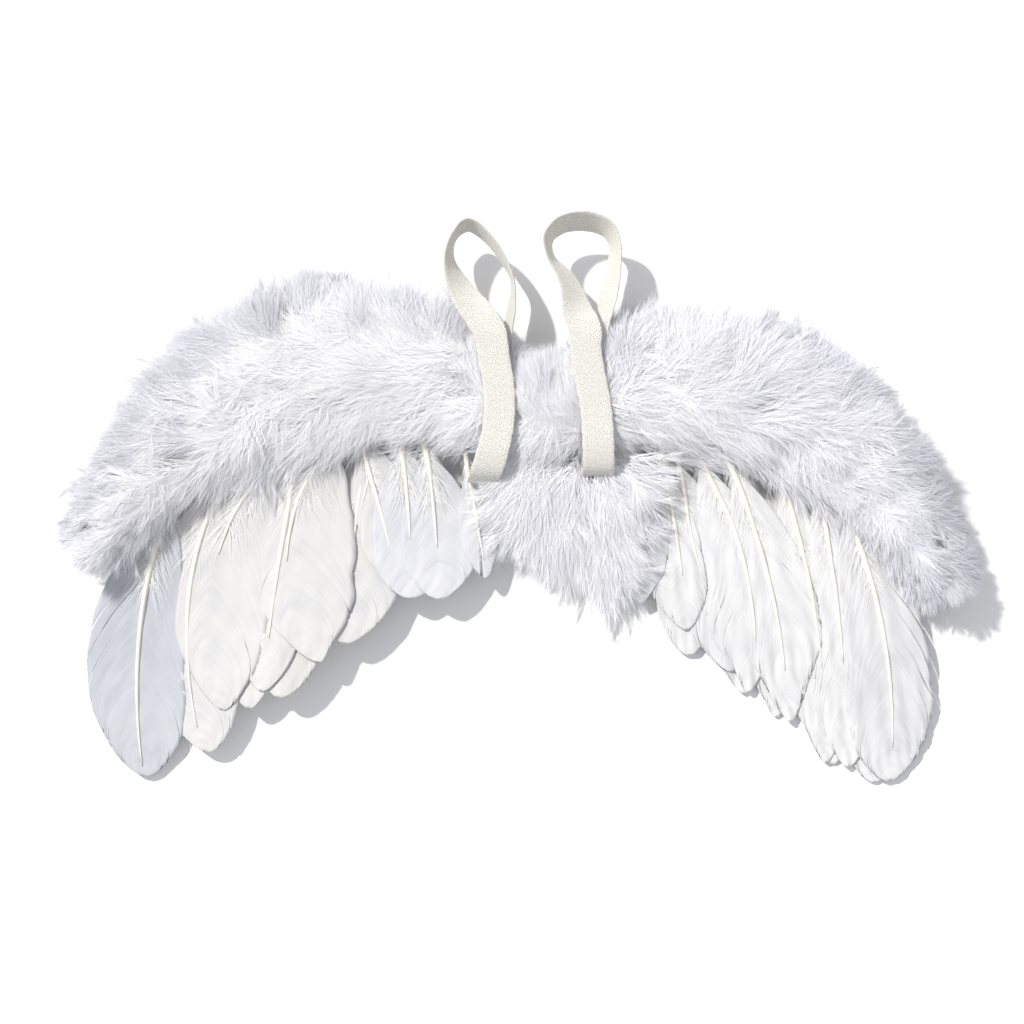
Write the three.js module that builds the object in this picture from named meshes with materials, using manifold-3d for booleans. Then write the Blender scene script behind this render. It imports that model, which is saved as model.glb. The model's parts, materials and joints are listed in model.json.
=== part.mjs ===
// A small pair of feather wings with two elastic arm loops, laid flat with the straps on top.
// Millimetres, +Z up. The origin is on the rest plane under the middle of the boa.
// -X is the left wing, +Y is the top of the wings and the feathers point towards -Y.
import * as THREE from 'three';
import { mergeVertices } from 'three/addons/utils/BufferGeometryUtils.js';
import Module from 'manifold-3d';

// ---- Driving dimensions -------------------------------------------------------------------

// The boa line: the middle of the fluffy band that runs from wing tip to wing tip.
const leftReach = 212; // origin to the left end, along X
const leftShoulder = 34; // highest point of the left half, above the origin
const leftDrop = 61; // how far the left end hangs below the origin
const leftBoaHalf = 40; // widest half width of the left half
const rightReach = 183;
const rightShoulder = 29;
const rightDrop = 74;
const rightBoaHalf = 34;
const centreBoaHalf = 30;
const centreRise = 12; // boa line above the origin, between the straps

// The boa's height above the rest plane.
const boaCrown = 28;
const boaTipCrown = 18;
const boaFullCrownHalf = 20; // half width from which the boa has its full height
const boaRim = 12; // fluff in front of the felt, at the leading edge
const boaWaist = 0.43; // height of the section's widest part, as a share of the crown
const boaFullness = 0.8; // below 1 the section is fuller than an oval
const boaSides = 14; // sides of the section
const boaGap = 0.0067; // from each end of a length of boa to where it would meet the next, in stations

// The two folds beside the centre. Each is a straight line on the felt.
const leftFoldX = -48; // where the fold crosses Y = 0
const leftFoldLean = 8.7; // degrees, top leaning outwards
const rightFoldX = 39;
const rightFoldLean = 9.5;
const foldTravel = 50; // degrees each wing lifts
const foldSpareAngle = 1;
const foldGap = 0.6; // from the fold line to each side
const foldSpare = 0.8; // how far pieces run past a fold before they are trimmed, in stations

// Felt, quills and what is between them.
const feltThickness = 1.5;
const feltUnderside = 8;
const feltMargin = 6; // felt stops this far inside the boa's feather edge
const feltFromRim = 0.5;
const stripThickness = 0.8; // felt strips over and under the quills
const stripInset = 8; // behind the felt's feather edge
const stripSetback = 13; // behind the felt's leading edge
const stripTipSetback = 0.9; // short of the felt's tip end, in stations
const vaneThickness = 0.8;
const quillHalf = 1.6; // half width of the bare quill
const quillShare = 0.16; // share of a feather that is bare quill
const vaneWidest = 0.55; // share of the vane at which it is widest
const vaneRounding = 0.72; // share of the vane at which its tip starts to close
const layerGap = 0.3;
const onFelt = 0.5; // from the felt to what lies on it
const upperRows = 3;
const underRows = 2;

const wireRadius = 1;
const wireSetback = 5; // from the felt's leading edge to the wire
const cordRadius = 1.5;
const tubeBends = 10; // points through which a wire or cord is drawn

// Elastic arm straps.
const strapWidth = 14;
const strapThickness = 1.2;
const strapHeight = 30; // middle of the strap where it lies on the boa
const neckY = 45; // where each loop hinges
const neckGap = 0.3;
const tackLength = 11;
const tackWidth = 2.5;
const tackHeight = 1.2;
const tackClear = 0.1; // from the strap to the stitches
const notchClear = 1.5; // beside a strap where it goes through the boa's rim
const notchLength = 26;
const notchSetback = 3; // from the neck to the middle of the notch

// ---- Materials ----------------------------------------------------------------------------

const fluffWhite = new THREE.MeshStandardMaterial({ color: 0xf2f1f6, roughness: 0.95, metalness: 0 });
const featherWhite = new THREE.MeshStandardMaterial({ color: 0xf4f3f1, roughness: 0.6, metalness: 0 });
const feltWhite = new THREE.MeshStandardMaterial({ color: 0xf0efec, roughness: 1, metalness: 0 });
const elasticCream = new THREE.MeshStandardMaterial({ color: 0xe9e3d6, roughness: 0.85, metalness: 0 });
const threadCream = new THREE.MeshStandardMaterial({ color: 0xe4ddcd, roughness: 0.8, metalness: 0 });
const wireSteel = new THREE.MeshStandardMaterial({ color: 0xc8c8cc, roughness: 0.35, metalness: 1 });

// ---- Layers, from the rest plane up -------------------------------------------------------

const feltTop = feltUnderside + feltThickness;
const foldHeight = feltUnderside + feltThickness / 2;
const rowPitch = vaneThickness + layerGap;
const firstUpper = feltTop + onFelt;
const upperLevel = (row) => firstUpper + row * rowPitch;
const underLevel = (row) => feltUnderside - (row + 1) * rowPitch;
const facingBottom = upperLevel(upperRows);
const facingTop = facingBottom + stripThickness;
const backingTop = underLevel(underRows - 1) - layerGap;
const backingBottom = backingTop - stripThickness;
const cordHeight = facingTop + layerGap + cordRadius;
const pocketBottom = backingBottom - layerGap;
const pocketTop = cordHeight + cordRadius + onFelt;
const pocketPast = 12; // how far the pocket's opening runs past the boa
const coverLevel = (row) => facingBottom + row * rowPitch; // beside the facing strip
const strapOnFelt = feltTop + onFelt + strapThickness / 2;

// ---- Helpers ------------------------------------------------------------------------------

const { cos, sin, sign, abs, min, max, floor, ceil, round, PI } = Math;
const radians = (degrees) => (degrees * PI) / 180;
const mix = THREE.MathUtils.lerp;
const vector = (x, y, z = 0) => new THREE.Vector3(x, y, z);

const wasm = await Module();
wasm.setup();

const part = new THREE.Group();

function add(name, geometry, material) {
  const mesh = new THREE.Mesh(geometry, material);
  mesh.name = name;
  part.add(mesh);
}

/** A closed three.js geometry as a solid that can be cut. */
function solid(geometry) {
  const bare = geometry.clone();
  bare.deleteAttribute('normal');
  bare.deleteAttribute('uv');
  const merged = mergeVertices(bare, 1e-4);
  const vertProperties = new Float32Array(merged.attributes.position.array);
  return new wasm.Manifold(
    new wasm.Mesh({ numProp: 3, vertProperties, triVerts: new Uint32Array(merged.index.array) }),
  );
}

/** A cut solid back as a three.js geometry. */
function surface(manifold) {
  const mesh = manifold.getMesh();
  const geometry = new THREE.BufferGeometry();
  geometry.setAttribute('position', new THREE.BufferAttribute(new Float32Array(mesh.vertProperties), 3));
  geometry.setIndex(new THREE.BufferAttribute(new Uint32Array(mesh.triVerts), 1));
  geometry.computeVertexNormals();
  return geometry;
}

/** Bends a primitive: place(x, y, z) says where each of its points goes. */
function bend(geometry, place) {
  const at = geometry.attributes.position;
  for (let i = 0; i < at.count; i += 1) {
    const to = place(at.getX(i), at.getY(i), at.getZ(i));
    at.setXYZ(i, to.x, to.y, to.z);
  }
  return geometry;
}

// ---- The boa line -------------------------------------------------------------------------

// Each station is [share of the reach, share of the way from shoulder to end, share of the half width].
const leftShape = [
  [1, 1, 0.18],
  [0.94, 0.83, 0.45],
  [0.845, 0.55, 0.68],
  [0.735, 0.285, 0.85],
  [0.61, 0.12, 0.95],
  [0.48, 0.025, 1],
  [0.355, 0, 0.9],
  [0.225, 0.05, 0.83],
];
const rightShape = [
  [0.25, 0.02, 1],
  [0.4, 0, 1],
  [0.545, 0.065, 1],
  [0.67, 0.195, 0.97],
  [0.78, 0.39, 0.88],
  [0.88, 0.63, 0.7],
  [0.965, 0.89, 0.47],
  [1, 1, 0.23],
];

const wingStation = (shape, reach, shoulder, drop, half) =>
  shape.map(([out, down, wide]) => vector(reach * out, shoulder - (shoulder + drop) * down, half * wide));

// A point of this curve holds the half width as its z.
const boaStations = [
  ...wingStation(leftShape, -leftReach, leftShoulder, leftDrop, leftBoaHalf),
  vector(-20, centreRise + 2, centreBoaHalf),
  vector(0, centreRise, centreBoaHalf),
  vector(20, centreRise + 5, centreBoaHalf),
  ...wingStation(rightShape, rightReach, rightShoulder, rightDrop, rightBoaHalf),
];
const boaCurve = new THREE.CatmullRomCurve3(boaStations);
const lastStation = boaStations.length - 1;
const stopsPerStation = 2.5;
const leftFoldStation = 7;
const midStation = 9;
const rightFoldStation = 10.8;
const centreFrom = leftFoldStation - foldSpare;
const centreTo = rightFoldStation + foldSpare;

/** The boa line at a station: its point, its half width and the way across it, to the leading edge. */
function boaAt(station) {
  const t = station / lastStation;
  const point = boaCurve.getPoint(t);
  const along = boaCurve.getTangent(t).setZ(0).normalize();
  return { x: point.x, y: point.y, half: point.z, across: vector(-along.y, along.x) };
}

const feltFront = (half) => half - boaRim - feltFromRim;
const feltBack = (half) => -(half - feltMargin);
const stripFront = (half) => feltFront(half) - stripSetback;
const stripBack = (half) => feltBack(half) + stripInset;

/** The stations at which pieces between two stations bend: the two ends and a grid that all pieces share. */
function stopsBetween(from, to) {
  const first = floor(from * stopsPerStation + 0.2) + 1;
  const past = ceil(to * stopsPerStation - 0.2);
  const grid = Array.from({ length: max(0, past - first) }, (_, i) => (first + i) / stopsPerStation);
  return [from, ...grid, to];
}

/** A flat strip that follows the boa line between two stations. */
function boaStrip(from, to, back, front, bottom, top) {
  const stops = stopsBetween(from, to);
  const steps = stops.length - 1;
  return bend(new THREE.BoxGeometry(1, 1, 1, 1, 1, steps), (x, y, z) => {
    const line = boaAt(stops[round((z + 0.5) * steps)]);
    const side = mix(back(line.half), front(line.half), x + 0.5);
    return vector(line.x, line.y, mix(bottom, top, y + 0.5)).addScaledVector(line.across, side);
  });
}

/** A round tube along the boa line, offset across it. */
function boaTube(from, to, offset, height, radius, steps) {
  const points = [];
  for (let i = 0; i <= steps; i += 1) {
    const line = boaAt(mix(from, to, i / steps));
    points.push(vector(line.x, line.y, height).addScaledVector(line.across, offset(line.half)));
  }
  return tube(new THREE.CatmullRomCurve3(points), radius, steps * 2);
}

function tube(curve, radius, steps) {
  const section = new THREE.Shape().absarc(0, 0, radius, 0, 2 * PI, false);
  return new THREE.ExtrudeGeometry(section, { steps, curveSegments: 4, extrudePath: curve });
}

// ---- Folds --------------------------------------------------------------------------------

const folds = {
  left: { x: leftFoldX, out: vector(-cos(radians(leftFoldLean)), -sin(radians(leftFoldLean))) },
  right: { x: rightFoldX, out: vector(cos(radians(rightFoldLean)), -sin(radians(rightFoldLean))) },
};
const foldSlope = radians(foldTravel / 2 + foldSpareAngle);

/** Keeps what is on one side of a fold (+1 the wing, -1 the centre), leaning away from it above the felt. */
function trimAtFold(piece, fold, side) {
  const facing = fold.out.clone().multiplyScalar(side);
  const edge = vector(fold.x, 0, foldHeight).addScaledVector(facing, foldGap);
  const leaning = facing.clone().multiplyScalar(cos(foldSlope)).setZ(-sin(foldSlope));
  return piece
    .trimByPlane(facing.toArray(), facing.dot(edge))
    .trimByPlane(leaning.toArray(), leaning.dot(edge));
}

const trimToWing = (geometry, fold) => surface(trimAtFold(solid(geometry), fold, 1));

function trimToCentre(piece) {
  return trimAtFold(trimAtFold(piece, folds.left, -1), folds.right, -1);
}

// ---- Marabou boa --------------------------------------------------------------------------

/** The height of the boa's section at up = -1 (bottom) to 1 (crown), pressed flat on the rest plane. */
function boaHeight(crown, up) {
  const waist = crown * boaWaist;
  return max(0, waist + (crown - waist) * sign(up) * abs(up) ** boaFullness);
}

/** A length of boa: an oval section that follows the boa line. */
function boaLength(from, to) {
  const stops = stopsBetween(from, to);
  const steps = stops.length - 1;
  return bend(new THREE.CylinderGeometry(1, 1, 1, boaSides, steps), (x, y, z) => {
    const line = boaAt(stops[round((y + 0.5) * steps)]);
    const crown = mix(boaTipCrown, boaCrown, min(1, line.half / boaFullCrownHalf));
    return vector(line.x, line.y, boaHeight(crown, -z)).addScaledVector(line.across, x * line.half);
  });
}

/** The space that the felt, the quills and the cord take inside the boa, open towards the feathers. */
function pocket(from, to) {
  const open = (half) => -half - pocketPast;
  const closed = (half) => half - boaRim;
  return solid(boaStrip(from, to, open, closed, pocketBottom, pocketTop));
}

const pocketEnds = { left: 0.2, right: lastStation - 0.2 };
const feltEnds = { left: 1, right: lastStation - 1 };

function wingBoa(side, ends, tipFirst) {
  const fold = folds[side];
  const hollow = tipFirst ? pocket(pocketEnds.left, midStation) : pocket(midStation, pocketEnds.right);
  ends.slice(1).forEach((end, i) => {
    const start = ends[i];
    const length = solid(boaLength(start + boaGap, end - boaGap)).subtract(hollow);
    const number = tipFirst ? ends.length - 1 - i : i + 1;
    add(`${side}_marabou_${number}`, surface(trimAtFold(length, fold, 1)), fluffWhite);
  });
}

/** The slot where the upper end of a strap goes through the boa's rim. */
function strapNotch(x) {
  const bottom = strapOnFelt - strapThickness / 2 - layerGap;
  const box = new THREE.BoxGeometry(strapWidth + 2 * notchClear, notchLength, boaCrown);
  return solid(box.translate(x, neckY - notchSetback, bottom + boaCrown / 2));
}

function centreBoa() {
  const open = solid(boaLength(centreFrom, centreTo))
    .subtract(pocket(leftFoldStation - 1, rightFoldStation + 1))
    .subtract(strapNotch(leftTail.notchX))
    .subtract(strapNotch(rightTail.notchX));
  add('centre_marabou', surface(trimToCentre(open)), fluffWhite);
}

// The tuft's middle line from the boa down. z is its half width, as in the boa's stations.
const tuftStations = [vector(3, -18.7, 11), vector(4, -34, 22), vector(10, -52, 22), vector(20, -70, 9)];
const tuftSteps = 6;

/** The tuft of fluff that hangs below the centre, between the two wings' feathers. */
function centreTuft() {
  const line = new THREE.CatmullRomCurve3(tuftStations);
  const tuft = bend(new THREE.CylinderGeometry(1, 1, 1, boaSides, tuftSteps), (x, y, z) => {
    const t = y + 0.5;
    const point = line.getPoint(t);
    const along = line.getTangent(t).setZ(0).normalize();
    const across = vector(-along.y, along.x);
    return vector(point.x, point.y, boaHeight(boaTipCrown, -z)).addScaledVector(across, x * point.z);
  });
  add('centre_marabou_tuft', surface(trimToCentre(solid(tuft))), fluffWhite);
}

// ---- Felt, wire and cord ------------------------------------------------------------------

function wingCore(side, foldEnd, tipEnd) {
  const fold = folds[side];
  const range = (tip) => [min(tip, foldEnd), max(tip, foldEnd)];
  const stripEnd = tipEnd + sign(foldEnd - tipEnd) * stripTipSetback;
  const felt = boaStrip(...range(tipEnd), feltBack, feltFront, feltUnderside, feltTop);
  const facing = boaStrip(...range(stripEnd), stripBack, stripFront, facingBottom, facingTop);
  const backing = boaStrip(...range(stripEnd), stripBack, stripFront, backingBottom, backingTop);
  const wireOffset = (half) => feltFront(half) - wireSetback;
  const wireHeight = feltTop + layerGap + wireRadius;
  const wire = boaTube(...range(stripEnd), wireOffset, wireHeight, wireRadius, tubeBends);
  const cord = boaTube(...range(stripEnd), () => 0, cordHeight, cordRadius, tubeBends);
  add(`${side}_wing_felt`, trimToWing(felt, fold), feltWhite);
  add(`${side}_quill_facing`, trimToWing(facing, fold), feltWhite);
  add(`${side}_quill_backing`, trimToWing(backing, fold), feltWhite);
  add(`${side}_edge_wire`, trimToWing(wire, fold), wireSteel);
  add(`${side}_boa_cord`, trimToWing(cord, fold), threadCream);
}

function centreCore() {
  const felt = boaStrip(centreFrom, centreTo, feltBack, feltFront, feltUnderside, feltTop);
  const facing = boaStrip(centreFrom, centreTo, stripBack, stripFront, facingBottom, facingTop);
  const cord = boaTube(centreFrom, centreTo, () => 0, cordHeight, cordRadius, tubeBends);
  add('centre_felt', surface(trimToCentre(solid(felt))), feltWhite);
  add('centre_facing', surface(trimToCentre(solid(facing))), feltWhite);
  add('centre_boa_cord', surface(trimToCentre(solid(cord))), threadCream);
}

// ---- Feathers -----------------------------------------------------------------------------

/** Half the vane's width at a share of the length: a bare quill, a slow swelling and a round tip. */
function vaneHalf(share, width) {
  if (share <= quillShare) return quillHalf;
  const along = (share - quillShare) / (1 - quillShare);
  const swelling = sin(min(1, along / vaneWidest) * (PI / 2)) ** 0.8;
  const closing = (1 - max(0, (along - vaneRounding) / (1 - vaneRounding)) ** 2.2) ** 0.6;
  return max(quillHalf, (width / 2) * swelling * closing);
}

/**
 * A flat feather. heading is in degrees from -Y towards +X, and bow is how far the middle of the
 * shaft stands towards +X of the straight line from quill to tip.
 */
function feather(name, { station, inset, heading, length, width, bow }, level) {
  const line = boaAt(station);
  const root = vector(line.x, line.y).addScaledVector(line.across, -inset);
  const ahead = vector(sin(radians(heading)), -cos(radians(heading)));
  const aside = vector(-ahead.y, ahead.x);
  const shaft = (share) =>
    root
      .clone()
      .addScaledVector(ahead, length * share)
      .addScaledVector(aside, 4 * bow * share * (1 - share));
  const shares = [0, quillShare, 0.26, 0.38, 0.52, 0.66, 0.78, 0.87, 0.94, 0.985];
  const edge = (side) =>
    shares.map((share) => shaft(share).addScaledVector(aside, side * vaneHalf(share, width)));
  const outline = [...edge(1), shaft(1), ...edge(-1).reverse()];
  const shape = new THREE.Shape(outline.map((point) => new THREE.Vector2(point.x, point.y)));
  const vane = new THREE.ExtrudeGeometry(shape, { depth: vaneThickness, bevelEnabled: false });
  add(name, vane.translate(0, 0, level), featherWhite);
}

// Rows are counted up from the felt for the upper feathers and down from it for the under ones.
const leftUpper = [
  { row: 1, station: 2.64, inset: 7, heading: -9, length: 148, width: 43, bow: -12 },
  { row: 0, station: 3.68, inset: 11, heading: -8, length: 151, width: 34, bow: -15 },
  { row: 2, station: 4.3, inset: 15, heading: -12, length: 137, width: 33, bow: -11 },
  { row: 1, station: 4.7, inset: 15, heading: -10, length: 130, width: 26, bow: -4 },
  { row: 2, station: 5.24, inset: 15, heading: -2, length: 118, width: 38, bow: -10 },
  { row: 1, station: 5.25, inset: 20, heading: 19, length: 84, width: 18, bow: 5 },
];
const leftUnder = [
  { row: 0, station: 4.08, inset: 12, heading: -5, length: 134, width: 30, bow: -7 },
  { row: 1, station: 4.94, inset: 16, heading: -9, length: 133, width: 28, bow: 0 },
  { row: 0, station: 5.8, inset: 18, heading: -5, length: 108, width: 36, bow: 1 },
];
const leftCover = [
  { row: 0, station: 6.34, inset: 26, heading: 6, length: 79, width: 24, bow: 4 },
  { row: 1, station: 6.95, inset: 26, heading: 8, length: 77, width: 21, bow: 3 },
];
const rightUpper = [
  { row: 2, station: 10.96, inset: 25, heading: 8, length: 89, width: 20, bow: -1 },
  { row: 0, station: 11.2, inset: 23, heading: 15, length: 114, width: 24, bow: 0 },
  { row: 1, station: 11.5, inset: 21, heading: 14, length: 126, width: 26, bow: 8 },
  { row: 2, station: 12.06, inset: 22, heading: 16, length: 140, width: 26, bow: 9 },
  { row: 0, station: 13.2, inset: 16, heading: 11, length: 155, width: 26, bow: 7 },
  { row: 1, station: 13.88, inset: 11, heading: 9, length: 152, width: 30, bow: 8 },
  { row: 2, station: 14.54, inset: 12, heading: 12, length: 148, width: 38, bow: 9 },
];
const rightUnder = [
  { row: 0, station: 10.98, inset: 25, heading: 8, length: 101, width: 22, bow: 0 },
  { row: 1, station: 11.64, inset: 23, heading: 12, length: 124, width: 26, bow: 4 },
  { row: 0, station: 12.62, inset: 22, heading: 9, length: 132, width: 26, bow: 4 },
  { row: 1, station: 13.56, inset: 14, heading: 9, length: 153, width: 28, bow: 8 },
  { row: 0, station: 14.88, inset: 14, heading: 8, length: 139, width: 30, bow: 7 },
];
const rightCover = [{ row: 0, station: 10.9, inset: 29, heading: -7, length: 73, width: 13, bow: 1 }];
const centreCover = { row: 2, station: 7.8, inset: strapWidth + 10, heading: 10, length: 58, width: 12, bow: -0.5 };

function feathers() {
  leftUpper.forEach((each, i) => feather(`left_flight_${i + 1}`, each, upperLevel(each.row)));
  leftUnder.forEach((each, i) => feather(`left_under_${i + 1}`, each, underLevel(each.row)));
  leftCover.forEach((each, i) => feather(`left_cover_${i + 1}`, each, coverLevel(each.row)));
  rightUpper.forEach((each, i) => feather(`right_flight_${i + 1}`, each, upperLevel(each.row)));
  rightUnder.forEach((each, i) => feather(`right_under_${i + 1}`, each, underLevel(each.row)));
  rightCover.forEach((each, i) => feather(`right_cover_${i + 1}`, each, coverLevel(each.row)));
  feather('centre_cover', centreCover, coverLevel(centreCover.row));
}

// ---- Straps -------------------------------------------------------------------------------

/**
 * A flat strap along hand-set points [x, y, z, tilt]. Its face is up at tilt 0 and on edge at 90.
 * The width stays level with the line from side to side, or with sideways if it is given.
 */
function strap(points, steps, sideways) {
  const curve = new THREE.CatmullRomCurve3(points.map(([x, y, z]) => vector(x, y, z)));
  const tilts = new THREE.CatmullRomCurve3(points.map((each) => vector(each[3], 0, 0)));
  return bend(new THREE.BoxGeometry(1, 1, 1, 1, 1, steps), (x, y, z) => {
    const t = z + 0.5;
    const along = curve.getTangent(t);
    const level = sideways ? sideways.clone() : vector(-along.y, along.x).normalize();
    const tilt = radians(tilts.getPoint(t).x);
    const wide = level.multiplyScalar(cos(tilt)).add(vector(0, 0, sin(tilt)));
    wide.addScaledVector(along, -wide.dot(along)).normalize();
    const face = along.clone().cross(wide);
    return curve
      .getPoint(t)
      .addScaledVector(wide, x * strapWidth)
      .addScaledVector(face, y * strapThickness);
  });
}

const tailHeight = 19; // middle of the strap where it goes under the boa at the neck
const loopStart = neckY + neckGap;
const runEnd = neckY - neckGap;

const leftRun = [
  [-22, 2, strapOnFelt, 0],
  [-22, -8, strapOnFelt, 0],
  [-22.6, -13.5, 11.5, 0],
  [-24, -19, 15.5, 0],
  [-24.5, -20, 21, 0],
  [-24, -16.5, 27, 0],
  [-23, -8, strapHeight, 0],
  [-21.5, 8, strapHeight, 0],
  [-21.6, 24, strapHeight, 0],
  [-23.4, 34, strapHeight, 0],
  [-24, 40, strapHeight, 0],
  [-24, runEnd, strapHeight, 0],
];
const leftLoop = [
  [-24, loopStart, strapHeight, 0],
  [-24, 48.5, strapHeight, 0],
  [-33, 59, 28, 15],
  [-39.5, 69, 24, 45],
  [-43.5, 82, 20.5, 75],
  [-41.5, 91, 19, 82],
  [-35.5, 96, 18.5, 72],
  [-28, 91.5, 18.5, 76],
  [-20, 81, 19, 82],
  [-15.5, 71, 19.5, 86],
  [-16, 58, 19.5, 76],
  [-17.5, 49, tailHeight, 74],
  [-17.5, loopStart, tailHeight, 74],
];
const leftTail = {
  notchX: -18.5,
  points: [
    [-17.5, runEnd, tailHeight, 74],
    [-17.5, 42, tailHeight, 74],
    [-18.5, 36, 14.5, 36],
    [-19, 30, strapOnFelt, 0],
    [-19.5, 15, strapOnFelt, 0],
  ],
};
const rightRun = [
  [22.5, 4, strapOnFelt, 0],
  [22.5, -6, strapOnFelt, 0],
  [22.6, -13, 13, 0],
  [22.7, -16, 19.5, 0],
  [22.6, -13, 26.5, 0],
  [22.5, -4, strapHeight, 0],
  [21.4, 13.5, strapHeight, 0],
  [18, 32, strapHeight, 0],
  [16.8, 40, strapHeight, 0],
  [16.8, runEnd, strapHeight, 0],
];
const rightLoop = [
  [16.8, loopStart, strapHeight, 0],
  [16.8, 48, strapHeight, 0],
  [13.6, 56, 28, 18],
  [11.5, 65, 25.5, 45],
  [8, 73, 23, 60],
  [1.5, 82, 20.5, 75],
  [0.5, 90, 19.5, 72],
  [6.5, 96, 19, 62],
  [17.5, 97.5, 19, 58],
  [28, 94.5, 19, 64],
  [32.5, 87, 19, 72],
  [31, 77, 19, 62],
  [27.5, 65, 19, 58],
  [25.7, 56, 19.2, 64],
  [24.6, 49, tailHeight, 70],
  [24.6, loopStart, tailHeight, 70],
];
const rightTail = {
  notchX: 24,
  points: [
    [24.6, runEnd, tailHeight, 70],
    [24.6, 42, tailHeight, 70],
    [24.2, 36, 14.5, 36],
    [24, 30, strapOnFelt, 0],
    [24, 15, strapOnFelt, 0],
  ],
};

/** A bar tack: a short block of stitches across a strap end. */
function tack(name, x, y) {
  const box = new THREE.BoxGeometry(tackLength, tackWidth, tackHeight);
  const height = strapOnFelt + strapThickness / 2 + tackClear + tackHeight / 2;
  add(name, box.translate(x, y, height), threadCream);
}

function straps() {
  const level = vector(-1, 0, 0);
  add('left_strap_run', strap(leftRun, 30, level), elasticCream);
  add('left_strap_loop', strap(leftLoop, 36), elasticCream);
  add('left_strap_tail', strap(leftTail.points, 12), elasticCream);
  add('right_strap_run', strap(rightRun, 28, level), elasticCream);
  add('right_strap_loop', strap(rightLoop, 40), elasticCream);
  add('right_strap_tail', strap(rightTail.points, 12), elasticCream);
}

// ---- Assembly -----------------------------------------------------------------------------

wingBoa('left', [0, 2.3, 4, 5.5, leftFoldStation + foldSpare], true);
wingBoa('right', [rightFoldStation - foldSpare, 12.4, 14, 15.7, lastStation], false);
centreBoa();
centreTuft();
wingCore('left', leftFoldStation + foldSpare, feltEnds.left);
wingCore('right', rightFoldStation - foldSpare, feltEnds.right);
centreCore();
feathers();
straps();
tack('left_run_tack', -22, -1);
tack('left_tail_tack', -19.4, 18);
tack('right_run_tack', 22.5, 1);
tack('right_tail_tack', 24, 18);

export default part;
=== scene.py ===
"""Small feather wings: marabou band, goose feathers and elastic arm loops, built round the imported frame.

Every piece is worked out in metres in the frame's own axes: -X is the left wing, +Y the top edge, +Z up.
"""

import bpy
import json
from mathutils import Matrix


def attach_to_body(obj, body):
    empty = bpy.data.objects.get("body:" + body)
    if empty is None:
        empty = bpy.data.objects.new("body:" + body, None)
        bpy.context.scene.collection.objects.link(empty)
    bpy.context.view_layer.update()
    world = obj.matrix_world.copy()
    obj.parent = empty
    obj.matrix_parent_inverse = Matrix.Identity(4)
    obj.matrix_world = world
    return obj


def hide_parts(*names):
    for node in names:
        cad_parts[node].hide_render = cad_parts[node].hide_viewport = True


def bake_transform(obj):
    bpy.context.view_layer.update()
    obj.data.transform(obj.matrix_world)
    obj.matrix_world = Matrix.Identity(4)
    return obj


bl_info = {
    "name": "Feather Wings Maker",
    "version": (1, 0, 0),
    "blender": (4, 5, 0),
    "location": "View3D > Sidebar > Feather Wings",
    "description": "Makes a pair of small feather wings with a marabou band and elastic arm loops",
    "category": "Add Mesh",
}

import json

import bmesh
import bpy
import numpy as np
from bpy.props import FloatProperty, FloatVectorProperty, IntProperty, PointerProperty

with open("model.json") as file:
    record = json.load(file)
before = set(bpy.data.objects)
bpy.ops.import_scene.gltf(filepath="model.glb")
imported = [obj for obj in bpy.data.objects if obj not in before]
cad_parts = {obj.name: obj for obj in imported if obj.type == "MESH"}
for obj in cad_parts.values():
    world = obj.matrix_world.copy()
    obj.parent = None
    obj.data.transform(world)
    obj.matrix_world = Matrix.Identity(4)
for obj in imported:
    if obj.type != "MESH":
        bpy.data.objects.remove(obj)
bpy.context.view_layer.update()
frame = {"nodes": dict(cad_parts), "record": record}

MM = 0.001
UP = np.array([0.0, 0.0, 1.0])

# ---- The boa line: middle of the marabou band, in millimetres, as in the frame ------------------

LEFT_SHAPE = np.array([
    [1, 1, 0.18], [0.94, 0.83, 0.45], [0.845, 0.55, 0.68], [0.735, 0.285, 0.85],
    [0.61, 0.12, 0.95], [0.48, 0.025, 1], [0.355, 0, 0.9], [0.225, 0.05, 0.83],
])
RIGHT_SHAPE = np.array([
    [0.25, 0.02, 1], [0.4, 0, 1], [0.545, 0.065, 1], [0.67, 0.195, 0.97],
    [0.78, 0.39, 0.88], [0.88, 0.63, 0.7], [0.965, 0.89, 0.47], [1, 1, 0.23],
])


def wing_stations(shape, reach, shoulder, drop, half):
    """Stations of one wing: reach times the first share, shoulder less the second, half times the third."""
    fall = (shoulder + drop) * shape[:, 1]
    return np.column_stack([reach * shape[:, 0], shoulder - fall, half * shape[:, 2]])


STATIONS = MM * np.vstack([
    wing_stations(LEFT_SHAPE, -212, 34, 61, 40),
    [[-20, 14, 30], [0, 12, 30], [20, 17, 30]],
    wing_stations(RIGHT_SHAPE, 183, 29, 74, 34),
])
LAST = len(STATIONS) - 1
LEFT_FOLD, RIGHT_FOLD = 7.0, 10.8  # stations at which the wings fold
MIDDLE = 9.0
CROWN, TIP_CROWN, FULL_HALF = 0.028, 0.018, 0.020
WAIST_SHARE = 0.43


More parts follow.
